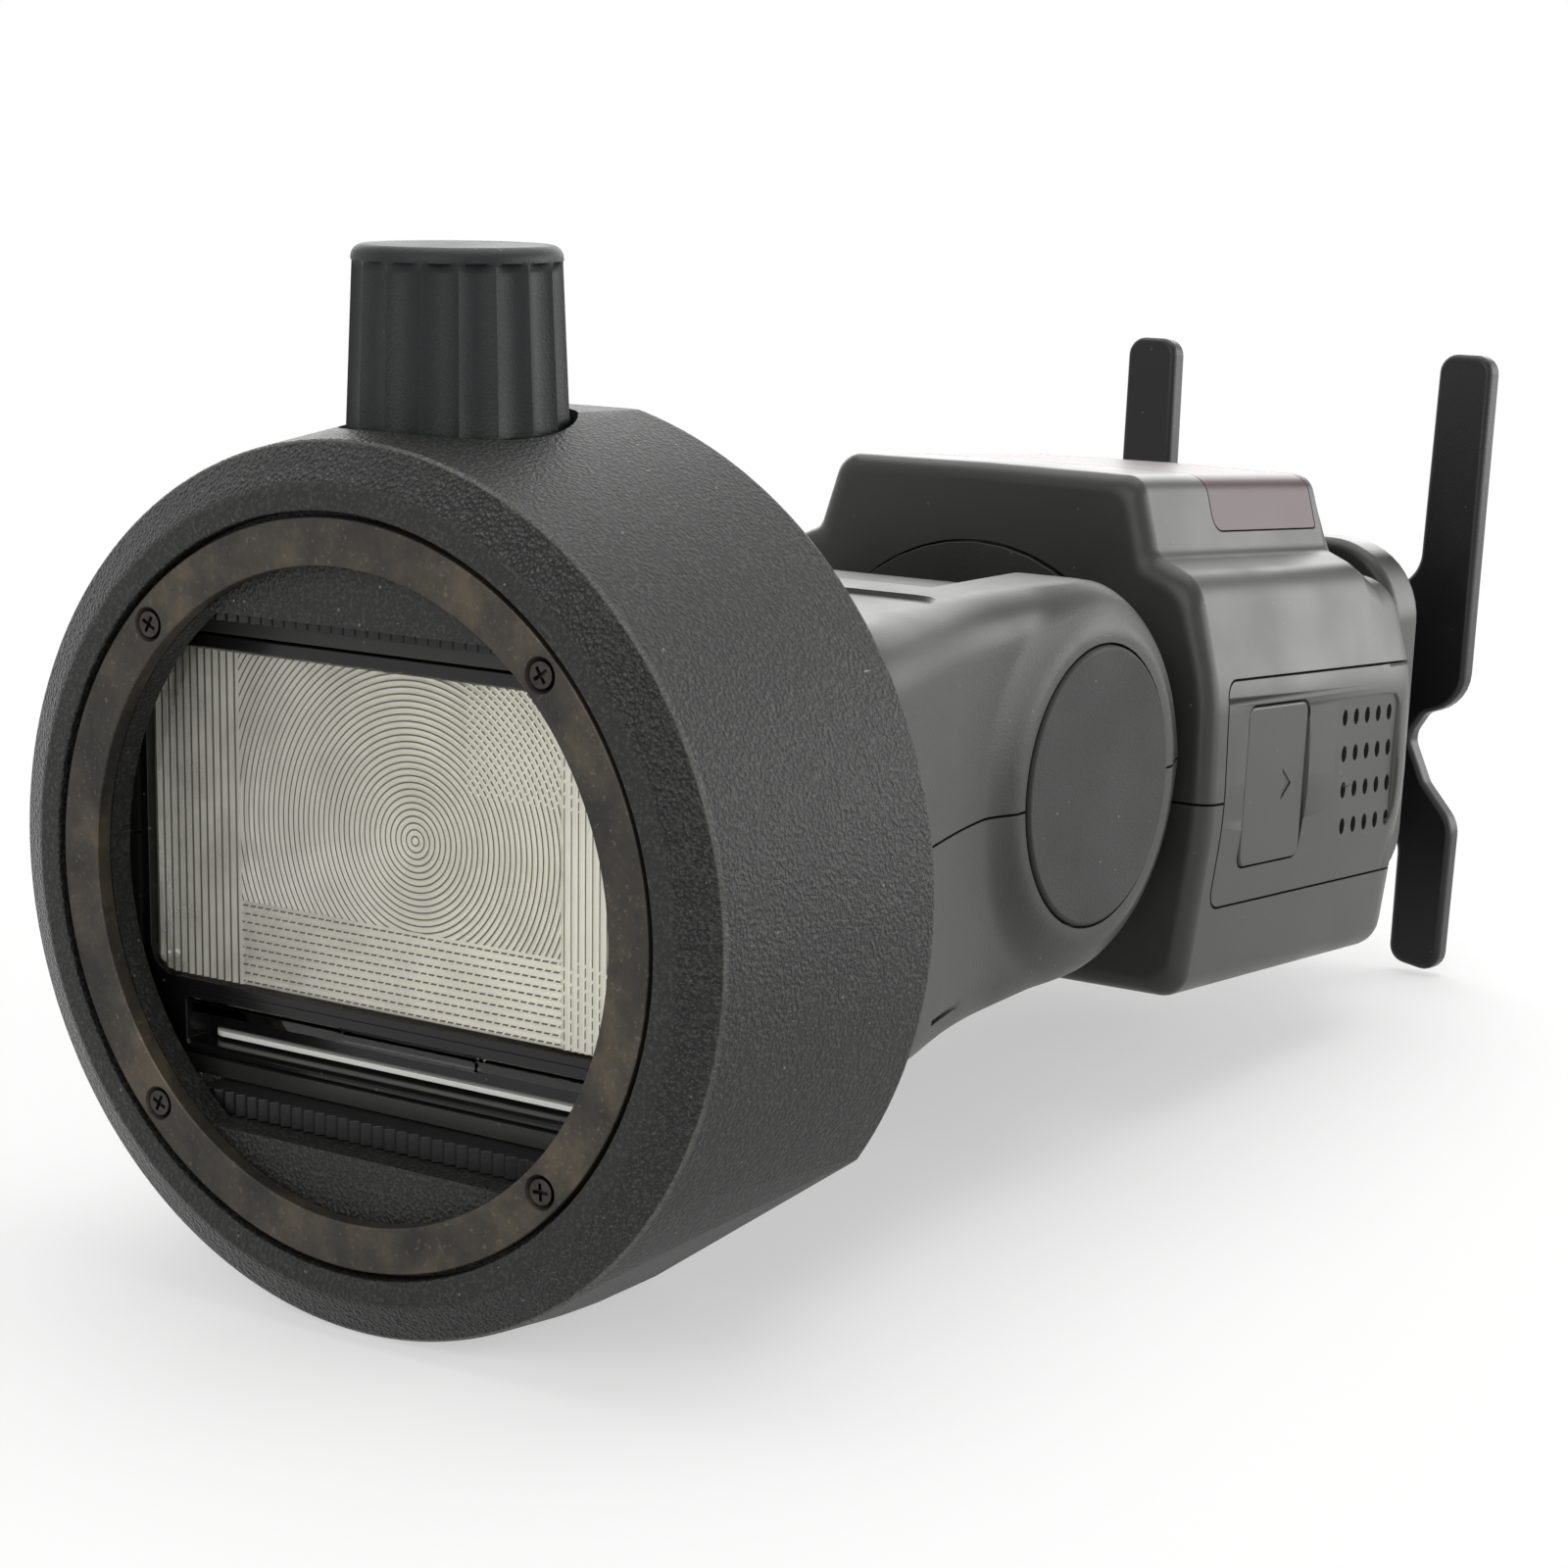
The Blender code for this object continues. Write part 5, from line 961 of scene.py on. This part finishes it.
# The electrodes have greyed the glass near both ends.
grey = add_node(tree, "MapRange", {"Value": ends, "From Min": 22 * MM, "From Max": 29 * MM})
glass_tone = add_node(tree, "Mix", {"Factor": grey, "A": "#f1f2ee", "B": "#6b665e"}, data_type="RGBA")
shader = add_node(tree, "BsdfPrincipled", {
    "Base Color": glass_tone, "Roughness": 0.03, "IOR": 1.46, "Transmission Weight": 0.85})
add_node(tree, "OutputMaterial", {"Surface": shader})
settle(soften(tube), HEAD, "flash_tube", quartz)
dark_nylon = moulded("moulded_dark_nylon", "#1f1f20", 0.5, 0.4, 0.01)
carry_over("zoom_carriage", 0.4, dark_nylon)
carry_over("zoom_motor", 0.3, bare_steel)
SCREW_Z = 20.8
THREAD_HALF_PITCH = 0.25
thread = [(36.4 + THREAD_HALF_PITCH * k, 1.3 if k % 2 else 1.1) for k in range(120)]
lead_screw = turn("lead_screw", [(36.0, 0), (36.0, 1.0), *thread, (68.5, 1.1), (68.5, 0)], 32, "X",
                  (0, 0, SCREW_Z))
reach_x = (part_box("zoom_screw")[1].x - HEAD.translation.x) / MM
for vertex in lead_screw.data.vertices:
    vertex.co.x = min(vertex.co.x, reach_x)
settle(soften(lead_screw, smooth=30), HEAD, "zoom_screw", bare_steel)


# Tilt hinge and neck.
# A bent steel fork in the head turns on a ground steel axle, which runs through the glass-filled nylon
# tongue; the tongue's round foot turns in the body and a steel ring holds it there.
carry_over("hinge_bracket", 0.3, bare_steel)
carry_over("tilt_axle", 0.2, bare_steel)
# The tongue's drum fills the head's slot, so that the hinge stays hidden.
DRUM_HALF = 19.4
DRUM_R = 21.6
drum = rod("drum", "Y", (0, 0, 0), -DRUM_HALF, DRUM_HALF, DRUM_R, sides=128)
cut(drum, rod("drum_core", "Y", (0, 0, 0), -30, 30, 18.5, sides=64))
drum.data.transform(Matrix.Scale(1 / MM, 4) @ BODY)
neck = join(refine("neck_yoke", 0.4), drum)
settle(soften(neck, smooth=35), IN_METRES, "neck_yoke",
       moulded("moulded_neck_nylon", "#2b2c29", 0.4, 0.3, 0.02))
carry_over("pan_ring", 0.3, bare_steel)


# The body's two shells.
# ABS and polycarbonate blend, satin with a very fine grain; the front half, which faces up here, carries
# the hump for the big capacitor, and the halves meet at a seam low on the sides.
BODY_FRONT = 25.0
BODY_END = 88.0
BODY_WALL = 2.4
BODY_SEAM_Z = -4.3
BODY_BACK_Z = -28.7
BODY_HALF = 34.7
HUMP_Z = 34.8
HUMP_HALF = 21.8
HUMP_END = 74.0
HUMP_SLOPE = 5.5
HUMP_DROP = 10.6
SHOULDER_Z = 22.6
FRONT_ROUND = 2.4
END_ROUND = 6.5


def open_fillet(corners, segments):
    """A line from the first corner to the last, with each one between them rounded."""
    line = [corners[0][:2]]
    for before, corner, after in zip(corners, corners[1:], corners[2:]):
        line += fillet([(*before[:2], 0), corner, (*after[:2], 0)], segments)[1:-1]
    return line + [corners[-1][:2]]


def mirrored(right):
    """A line that starts and ends on the middle, closed by its mirror image in Y."""
    return right + [(-y, z) for y, z in right[-2:0:-1]]


def body_ring(x, inset, drop):
    """The body's outline across X; the drop, from 0 to 1, brings the hump down to the shoulder."""
    hump = HUMP_Z - HUMP_DROP * drop - inset
    shoulder = SHOULDER_Z - 1.2 * drop - inset
    corners = [
        (0, BODY_BACK_Z + inset, 0), (BODY_HALF - 2.4 - inset, BODY_BACK_Z + inset, 3.6),
        (BODY_HALF - inset, -6, 60), (BODY_HALF - 0.4 - inset, 9, 22), (BODY_HALF - 4.1 - inset, shoulder, 6),
        (HUMP_HALF + 2.8 - inset, shoulder + 2.6 - 2.2 * drop, 2.2),
        (HUMP_HALF - inset, hump, 3.2 - 2.2 * drop), (0, hump + 0.2, 0)]
    return [(x, y, z) for y, z in mirrored(open_fillet(corners, 9))]


def body_form(name, wall=0.0):
    """The body's skin, or its hollow with a wall."""
    front, end = BODY_FRONT + wall, BODY_END - wall
    front_round, end_round = max(FRONT_ROUND - wall, 0.8), END_ROUND - wall
    hump_end = HUMP_END - 0.8 * wall
    arc = [(1 - math.cos(a), 1 - math.sin(a)) for a in [math.radians(10 * k) for k in range(10)]]
    rows = [(front + front_round * x, wall + front_round * inset, 0) for x, inset in arc]
    rows += [(hump_end + drop * HUMP_SLOPE, wall, drop) for drop in (0, 0.1, 0.2, 0.4, 0.6, 0.8, 0.9, 1)]
    rows += [(end - end_round * x, wall + 0.75 * end_round * inset, 1) for x, inset in reversed(arc)]
    return skin(name, [body_ring(*row) for row in rows])


WINDOW_SIDE = [(43.2, 28.0, 2.0), (72.4, 28.0, 0.6), (72.4, 50.0, 0), (43.2, 50.0, 0)]
DOOR = [(29.7, -17.5, 2.2), (95.0, -17.5, 0), (95.0, 10.5, 0), (29.7, 10.5, 2.2)]
DOOR_THICK = 3.4
DISPLAY = rounded((31.0, 57.0), (-24.0, 24.0), 2)


def grown(corners, grow):
    """A rectangle's corners moved outwards by the same amount on all sides."""
    middle_a, middle_b = [(min(along) + max(along)) / 2 for along in list(zip(*corners))[:2]]
    return [(a + math.copysign(grow, a - middle_a), b + math.copysign(grow, b - middle_b),
             radius + grow if radius else 0) for a, b, radius in corners]


KEYS = {"soft_key_%d" % (k + 1): (61.5, 19.5 - 13.0 * k, 1.9, 3.9, 1.2) for k in range(4)}
KEYS.update(mode_key=(69.5, 21.5, 2.6, 3.6, 2.2), test_key=(69.5, -21.5, 2.8, 2.8, 2.7))
DIAL_X = 73.6
DIAL_R = 9.5
PORT = rounded((44.0, 66.0), (-20.0, -10.5), 2.2)


def key_outline(key, grow=0.0):
    x, y, half_x, half_y, radius = KEYS[key]
    return fillet(rounded((x - half_x - grow, x + half_x + grow), (y - half_y - grow, y + half_y + grow),
                          radius + grow))


moulded_body = moulded("moulded_abs_body", "#343432", 0.33, 0.25, 0.008)
for node, low, high in (("front_shell", BODY_SEAM_Z + SEAM_HALF, FAR),
                        ("rear_shell", -FAR, BODY_SEAM_Z - SEAM_HALF)):
    shell = keep(body_form(node), block("half", (0, BODY_END + 10), (-FAR, FAR), (low, high)))
    cut(shell, body_form("hollow", BODY_WALL),
        rod("turret_recess", "X", (0, 0, 0), BODY_FRONT - 3, BODY_FRONT + 1.3, 25.3, sides=96),
        rod("turret_hole", "X", (0, 0, 0), BODY_FRONT - 3, BODY_FRONT + 6, 13.3, sides=48),
        slab("door_mouth", "Y", fillet(grown(DOOR, 0.3)), -FAR, DOOR_THICK + 0.3 - BODY_HALF))
    if node == "front_shell":
        cut(shell, slab("window_hole", "Y", fillet(grown(WINDOW_SIDE, 0.22)), -40, 40))
    else:
        down, up = BODY_BACK_Z - 3, BODY_BACK_Z + BODY_WALL + 2
        cut(shell, slab("display_hole", "Z", fillet(grown(DISPLAY, 0.3)), down, up),
            *[slab("key_hole", "Z", key_outline(key, 0.25), down, up) for key in KEYS],
            rod("dial_hole", "Z", (DIAL_X, 0, 0), down, up, DIAL_R + 0.3, sides=64),
            slab("switch_hole", "Z", fillet(rounded((78.5, 83.1), (15.7, 27.3), 1.4)), down, up),
            slab("port_pocket", "Y", fillet(grown(PORT, 0.2)), BODY_HALF - 1.45, 50))
    settle(soften(shell, smooth=30), BODY, node, moulded_body)


# The red window.
# Dark red transparent acrylic in front of the focusing lamp and the sensor, let into the hump and flush
# with it on top and on both sides.
window = keep(body_form("window"), slab("window_part", "Y", fillet(WINDOW_SIDE), -40, 40))
cut(window, body_form("hollow", BODY_WALL))
red_acrylic, tree, place = material("moulded_red_acrylic")
hand = add_node(tree, "TexNoise", {"Vector": place, "Scale": 1 / (9 * MM), "Detail": 4.0})
hand_rough = add_node(tree, "MapRange", {"Value": hand, "To Min": 0.3, "To Max": 0.37})
deep_red = add_node(tree, "Mix", {"Factor": hand, "A": "#2e1418", "B": "#44191f"}, data_type="RGBA")
shader = add_node(tree, "BsdfPrincipled", {
    "Base Color": deep_red, "Roughness": hand_rough, "IOR": 1.45, "Specular IOR Level": 0.3,
    "Transmission Weight": 0.15})
add_node(tree, "OutputMaterial", {"Surface": shader})
settle(soften(window, smooth=30), BODY, "af_window", red_acrylic)


# Battery pack and latch.
# The pack's outer face is the same plastic as the body and closes flush with it; a push latch lies in a
# sunk frame, and a grip panel of twenty oval dimples fills the rear end.
pack = keep(body_form("pack"), slab("pack_face", "Y", fillet(DOOR), -FAR, DOOR_THICK - BODY_HALF))
join(pack, soften(block("cells", (31.3, 81.0), (DOOR_THICK - 0.3 - BODY_HALF, 18.0), (-16.3, 9.3)), 1.2))
RELEASE = rounded((35.4, 52.4), (-12.9, 7.1), 1.6)
LATCH_FACE = 0.4 - BODY_HALF
grip = rounded((61.0, 80.3), (-12.4, 6.5), 2.0)
cut(pack, slab("latch_hole", "Y", fillet(grown(RELEASE, 0.25)), -FAR, LATCH_FACE + 2.6),
    slab("latch_frame", "Y", fillet(grown(RELEASE, 0.6)), -FAR, 0.25 - BODY_HALF),
    skin("grip_panel", [[(x, y, z) for x, z in fillet(grown(grip, rise))]
                        for y, rise in ((0.6 - BODY_HALF, 0.0), (-BODY_HALF - 1, 0.8))]))
DIMPLE_TOP = 4.1
dimples = []
for column in range(5):
    for z in (DIMPLE_TOP, -0.7, -5.5, -10.3):
        x = 64.0 + 3.45 * column + 0.11 * (DIMPLE_TOP - z)
        oval = [(x + 0.75 * math.cos(math.radians(a)), z + 1.1 * math.sin(math.radians(a)))
                for a in range(0, 360, 20)]
        dimples.append(slab("dimple", "Y", oval, -BODY_HALF - 1, 1.5 - BODY_HALF))
cut(pack, join(dimples[0], *dimples[1:]))
settle(soften(pack, smooth=30), BODY, "battery_pack", moulded_body)
latch = soften(slab("latch", "Y", fillet(RELEASE), LATCH_FACE, LATCH_FACE + 1.4), 0.4, 4)
cut(latch, slab("arrow", "Y", [(46.0, -5.2), (46.0, -1.2), (48.6, -3.2)], LATCH_FACE - 0.5,
                LATCH_FACE + 0.16))
settle(soften(latch, smooth=30), BODY, "battery_release", moulded_body)


# Controls on the back.
# Grey polycarbonate display window over a liquid crystal panel, keys of soft silicone, a knurled dial round
# the set key, and a sliding power switch; all of them press on one small board.
BOARD_Z = BODY_BACK_Z + 2.3
key_rubber = moulded("moulded_silicone_keys", "#242425", 0.55, 0.2, 0.01)
for key in KEYS:
    cap = soften(slab(key, "Z", key_outline(key), BODY_BACK_Z - 0.9, BOARD_Z), 0.45, 4)
    x, y = KEYS[key][:2]
    if key.startswith("soft"):
        cut(cap, slab("tick", "Z", fillet(rounded((x - 0.25, x + 0.25), (y - 1.6, y + 1.6), 0.2), 3),
                      BODY_BACK_Z - 2, BODY_BACK_Z - 0.78))
    settle(soften(cap, smooth=30), BODY, key, key_rubber)
KNURLS = 48
KNURL_DEPTH = 0.35
dial_at = (DIAL_X, 0, 0)
dial = skin("dial", [
    [(DIAL_X + x, y, BODY_BACK_Z + z) for x, y in ridged(DIAL_R - inset, KNURL_DEPTH * share, KNURLS, 6)]
    for z, inset, share in ((-1.1, 0.9, 0.0), (-1.0, 0.45, 0.4), (-0.7, 0.15, 1.0), (-0.4, 0.0, 1.0),
                            (2.3, 0.0, 1.0))])
groove = [(BODY_BACK_Z - 2, 5.6), (BODY_BACK_Z - 0.8, 5.6), (BODY_BACK_Z - 0.8, 7.2), (BODY_BACK_Z - 2, 7.2)]
cut(dial, rod("set_way", "Z", dial_at, BODY_BACK_Z - 5, BODY_BACK_Z + 5, 4.5, sides=48),
    turn("dial_groove", groove, 64, "Z", dial_at))
settle(soften(dial, smooth=35), BODY, "control_dial",
       moulded("moulded_dial_abs", "#2a2b2b", 0.36, 0.3, 0.008))
SET_R = 4.2
set_key = turn("set_key", fillet([
    (BODY_BACK_Z - 1.2, 0, 0), (BODY_BACK_Z - 1.2, SET_R, 0.5), (BOARD_Z, SET_R, 0), (BOARD_Z, 0, 0)], 6),
    64, "Z", dial_at)
cut(set_key, rod("set_dot", "Z", dial_at, BODY_BACK_Z - 2, BODY_BACK_Z - 1.05, 0.8, sides=24))
settle(soften(set_key, smooth=30), BODY, "set_key", key_rubber)
slider = slab("slider", "Z", fillet(rounded((78.8, 82.8), (16.0, 22.0), 1.2)), BODY_BACK_Z - 1.0, BOARD_Z)
soften(slider, 0.4, 4)
cut(slider, *[block("grip_line", (78.0, 84.0), (y, y + 0.4), (BODY_BACK_Z - 2, BODY_BACK_Z - 0.7))
              for y in (17.4, 18.3, 19.2, 20.1)])
settle(soften(slider, smooth=30), BODY, "power_switch", moulded_body)
display_window = slab("display_window", "Z", fillet(DISPLAY), BODY_BACK_Z - 0.2, BODY_BACK_Z + 1.8)
settle(soften(display_window, 0.3), BODY, "lcd_window",
       clear_plastic("hard_coated_polycarbonate_window", "#d6d8d4", 1.58, 0.92, 10, 4.0, 0.02, 0.12))
liquid_crystal, tree, place = material("reflective_liquid_crystal")
pixels = add_node(tree, "TexBrick", {
    "Vector": place, "Scale": 1.0, "Brick Width": 0.5 * MM, "Row Height": 0.5 * MM,
    "Mortar Size": 0.04 * MM, "Color1": "#7f8a78", "Color2": "#7b8674", "Mortar": "#6b7564"}, offset=0.0)
cell_noise = add_node(tree, "TexNoise", {"Vector": place, "Scale": 1 / (20 * MM)})
lcd_tone = add_node(tree, "Mix", {
    "Factor": 0.35, "A": pixels, "B": cell_noise.outputs["Color"]}, data_type="RGBA", blend_type="MULTIPLY")
shader = add_node(tree, "BsdfPrincipled", {"Base Color": lcd_tone, "Roughness": 0.3, "IOR": 1.5})
add_node(tree, "OutputMaterial", {"Surface": shader})
carry_over("lcd_panel", 0.3, liquid_crystal)


# What the body holds: boards, capacitor and contacts.
# Fibreglass boards with green solder mask over etched copper, an aluminium capacitor in a black shrink
# sleeve, and gold-plated springs in a black block.
solder_mask, tree, place = material("green_solder_mask")
tracks = add_node(tree, "TexBrick", {
    "Vector": place, "Scale": 1.0, "Brick Width": 4 * MM, "Row Height": 1.2 * MM,
    "Mortar Size": 0.18 * MM, "Color1": "#1d4a34", "Color2": "#1a4430", "Mortar": "#2f6b48"}, offset=0.37)
shader = add_node(tree, "BsdfPrincipled", {"Base Color": tracks, "Roughness": 0.32, "IOR": 1.5})
add_node(tree, "OutputMaterial", {"Surface": shader})
gold_plate = rubbed_metal("gold_plated_bronze", "#b08a45", "#e2c27c", 1.2, 3.0, 0.25)
shrink_sleeve = moulded("shrunk_black_sleeve", "#19191c", 0.28, 0.8, 0.01)
carry_over("main_board", 0.1, solder_mask, 1)
carry_over("panel_board", 0.1, solder_mask, 1)
carry_over("main_capacitor", 0.5, shrink_sleeve)
carry_over("battery_contacts", 0.1, gold_plate, 1)


# The port cover.
# A flap of matt rubber over the sync sockets on the far side, flush with the wall, with a nail notch.
flap = keep(body_form("flap"), slab("flap_part", "Y", fillet(PORT), BODY_HALF - 1.3, 50))
cut(flap, rod("nail_notch", "Y", (64.2, 0, -15.2), BODY_HALF - 0.7, FAR, 1.6, sides=32),
    *[slab("flap_line", "Y", fillet(rounded((47.5 + 4.5 * k, 47.9 + 4.5 * k), (-18.2, -12.2), 0.15), 3),
           BODY_HALF - 0.45, FAR) for k in range(3)])
settle(soften(flap, smooth=30), BODY, "port_cover", cap_rubber)


# The foot: pedestal, lock wheel, steel foot, locking pin and contacts.
# The pedestal is body plastic; the wheel is ridged nylon that drives a hardened pin through the nickel
# plated foot, and the contacts sit in its middle.
PEDESTAL_END = BODY_END + 9.0
pedestal = slab("pedestal", "X", fillet(rounded((-29.2, 29.2), (-25.0, 26.0), 11), 12),
                BODY_END + 0.3, PEDESTAL_END)
settle(soften(pedestal, 1.6, 5, 60), BODY, "foot_base", moulded_body)
WHEEL_X = PEDESTAL_END + 0.3
WHEEL_R = 20.5
RIDGES = 30
RIDGE_DEPTH = 0.6
wheel = skin("wheel", [
    [(WHEEL_X + x, y, z) for y, z in ridged(WHEEL_R - inset, RIDGE_DEPTH * share, RIDGES, 8, 0.6)]
    for x, inset, share in ((0.0, 0.7, 0.1), (0.2, 0.3, 0.7), (0.5, 0.05, 1.0), (0.8, 0.0, 1.0),
                            (3.0, 0.0, 1.0), (3.3, 0.05, 1.0), (3.6, 0.3, 0.7), (3.8, 0.7, 0.1))])
cut(wheel, rod("wheel_bore", "X", (0, 0, 0), PEDESTAL_END - 1, PEDESTAL_END + 8, 9.4, sides=64))
settle(soften(wheel, smooth=35), BODY, "lock_wheel", dark_nylon)
carry_over("shoe_foot", 0.2, bare_steel)
carry_over("lock_pin", 0.1, bare_steel)
carry_over("shoe_contacts", 0.15, gold_plate)


# The table stand.
# Black ABS, injection moulded in one with two long and two short arms; its shoe slides on the foot and a
# brass nut with a tripod thread is pressed into its middle.
STAND_FRONT = PEDESTAL_END + 18.0
STAND_BACK = STAND_FRONT + 3.5
STAND_BOTTOM = -37.27
ARM_IN = 20.6
ARM_OUT = 29.2
right = [(0, 13.0, 0), (13.0, 13.0, 5), (ARM_IN, 21.5, 5), (ARM_IN + 0.6, 52.0, 2.6), (ARM_OUT, 52.0, 2.6),
         (ARM_OUT - 0.3, 2.4, 6), (ARM_IN + 2.6, 0.4, 2), (ARM_IN + 0.4, -3.2, 3), (ARM_IN + 3.4, -9.6, 3),
         (ARM_OUT - 0.4, -15.0, 5), (ARM_OUT - 0.8, STAND_BOTTOM, 2.6), (ARM_IN, STAND_BOTTOM + 1.4, 2.6),
         (ARM_IN, -18.5, 4), (14.0, -13.0, 5), (0, -13.0, 0)]
stand = slab("stand", "X", mirrored(open_fillet(right, 6)), STAND_FRONT, STAND_BACK)
soften(stand, 0.9, 5, 50)
FOOT_X = PEDESTAL_END + 7.3
hub = slab("hub", "X", fillet(rounded((-14, 14), (-12, 12), 2)), FOOT_X - 2.7, STAND_FRONT + 1)
join(stand, hub)
cut(stand, block("foot_slot", (FOOT_X - 0.3, FOOT_X + 2.3), (-9.6, 9.6), (-20, 9.3)),
    block("neck_slot", (FOOT_X - 3.7, FOOT_X), (-6.5, 6.5), (-20, 6.5)),
    block("pin_groove", (FOOT_X + 1.8, FOOT_X + 3.9), (-1.6, 1.6), (-20, 6)),
    rod("nut_seat", "X", (0, 0, 0), STAND_FRONT - 4.5, STAND_BACK + 5, 5.15, sides=48))
settle(soften(stand, smooth=32), BODY, "mini_stand",
       moulded("moulded_black_abs_stand", "#151516", 0.36, 0.3, 0.012))
NUT_BORE_R = 3.2
NUT_R = 5.0
nut = turn("nut", fillet([
    (STAND_FRONT - 4.2, NUT_BORE_R, 0.3), (STAND_FRONT - 4.2, NUT_R, 0.2), (STAND_BACK - 0.2, NUT_R, 0.2),
    (STAND_BACK - 0.2, NUT_BORE_R, 0.4)], 3), 64)
settle(soften(nut, smooth=30), BODY, "tripod_nut", turned_brass)


bpy.context.scene.view_settings.view_transform = "Standard"
low, high = cad_box
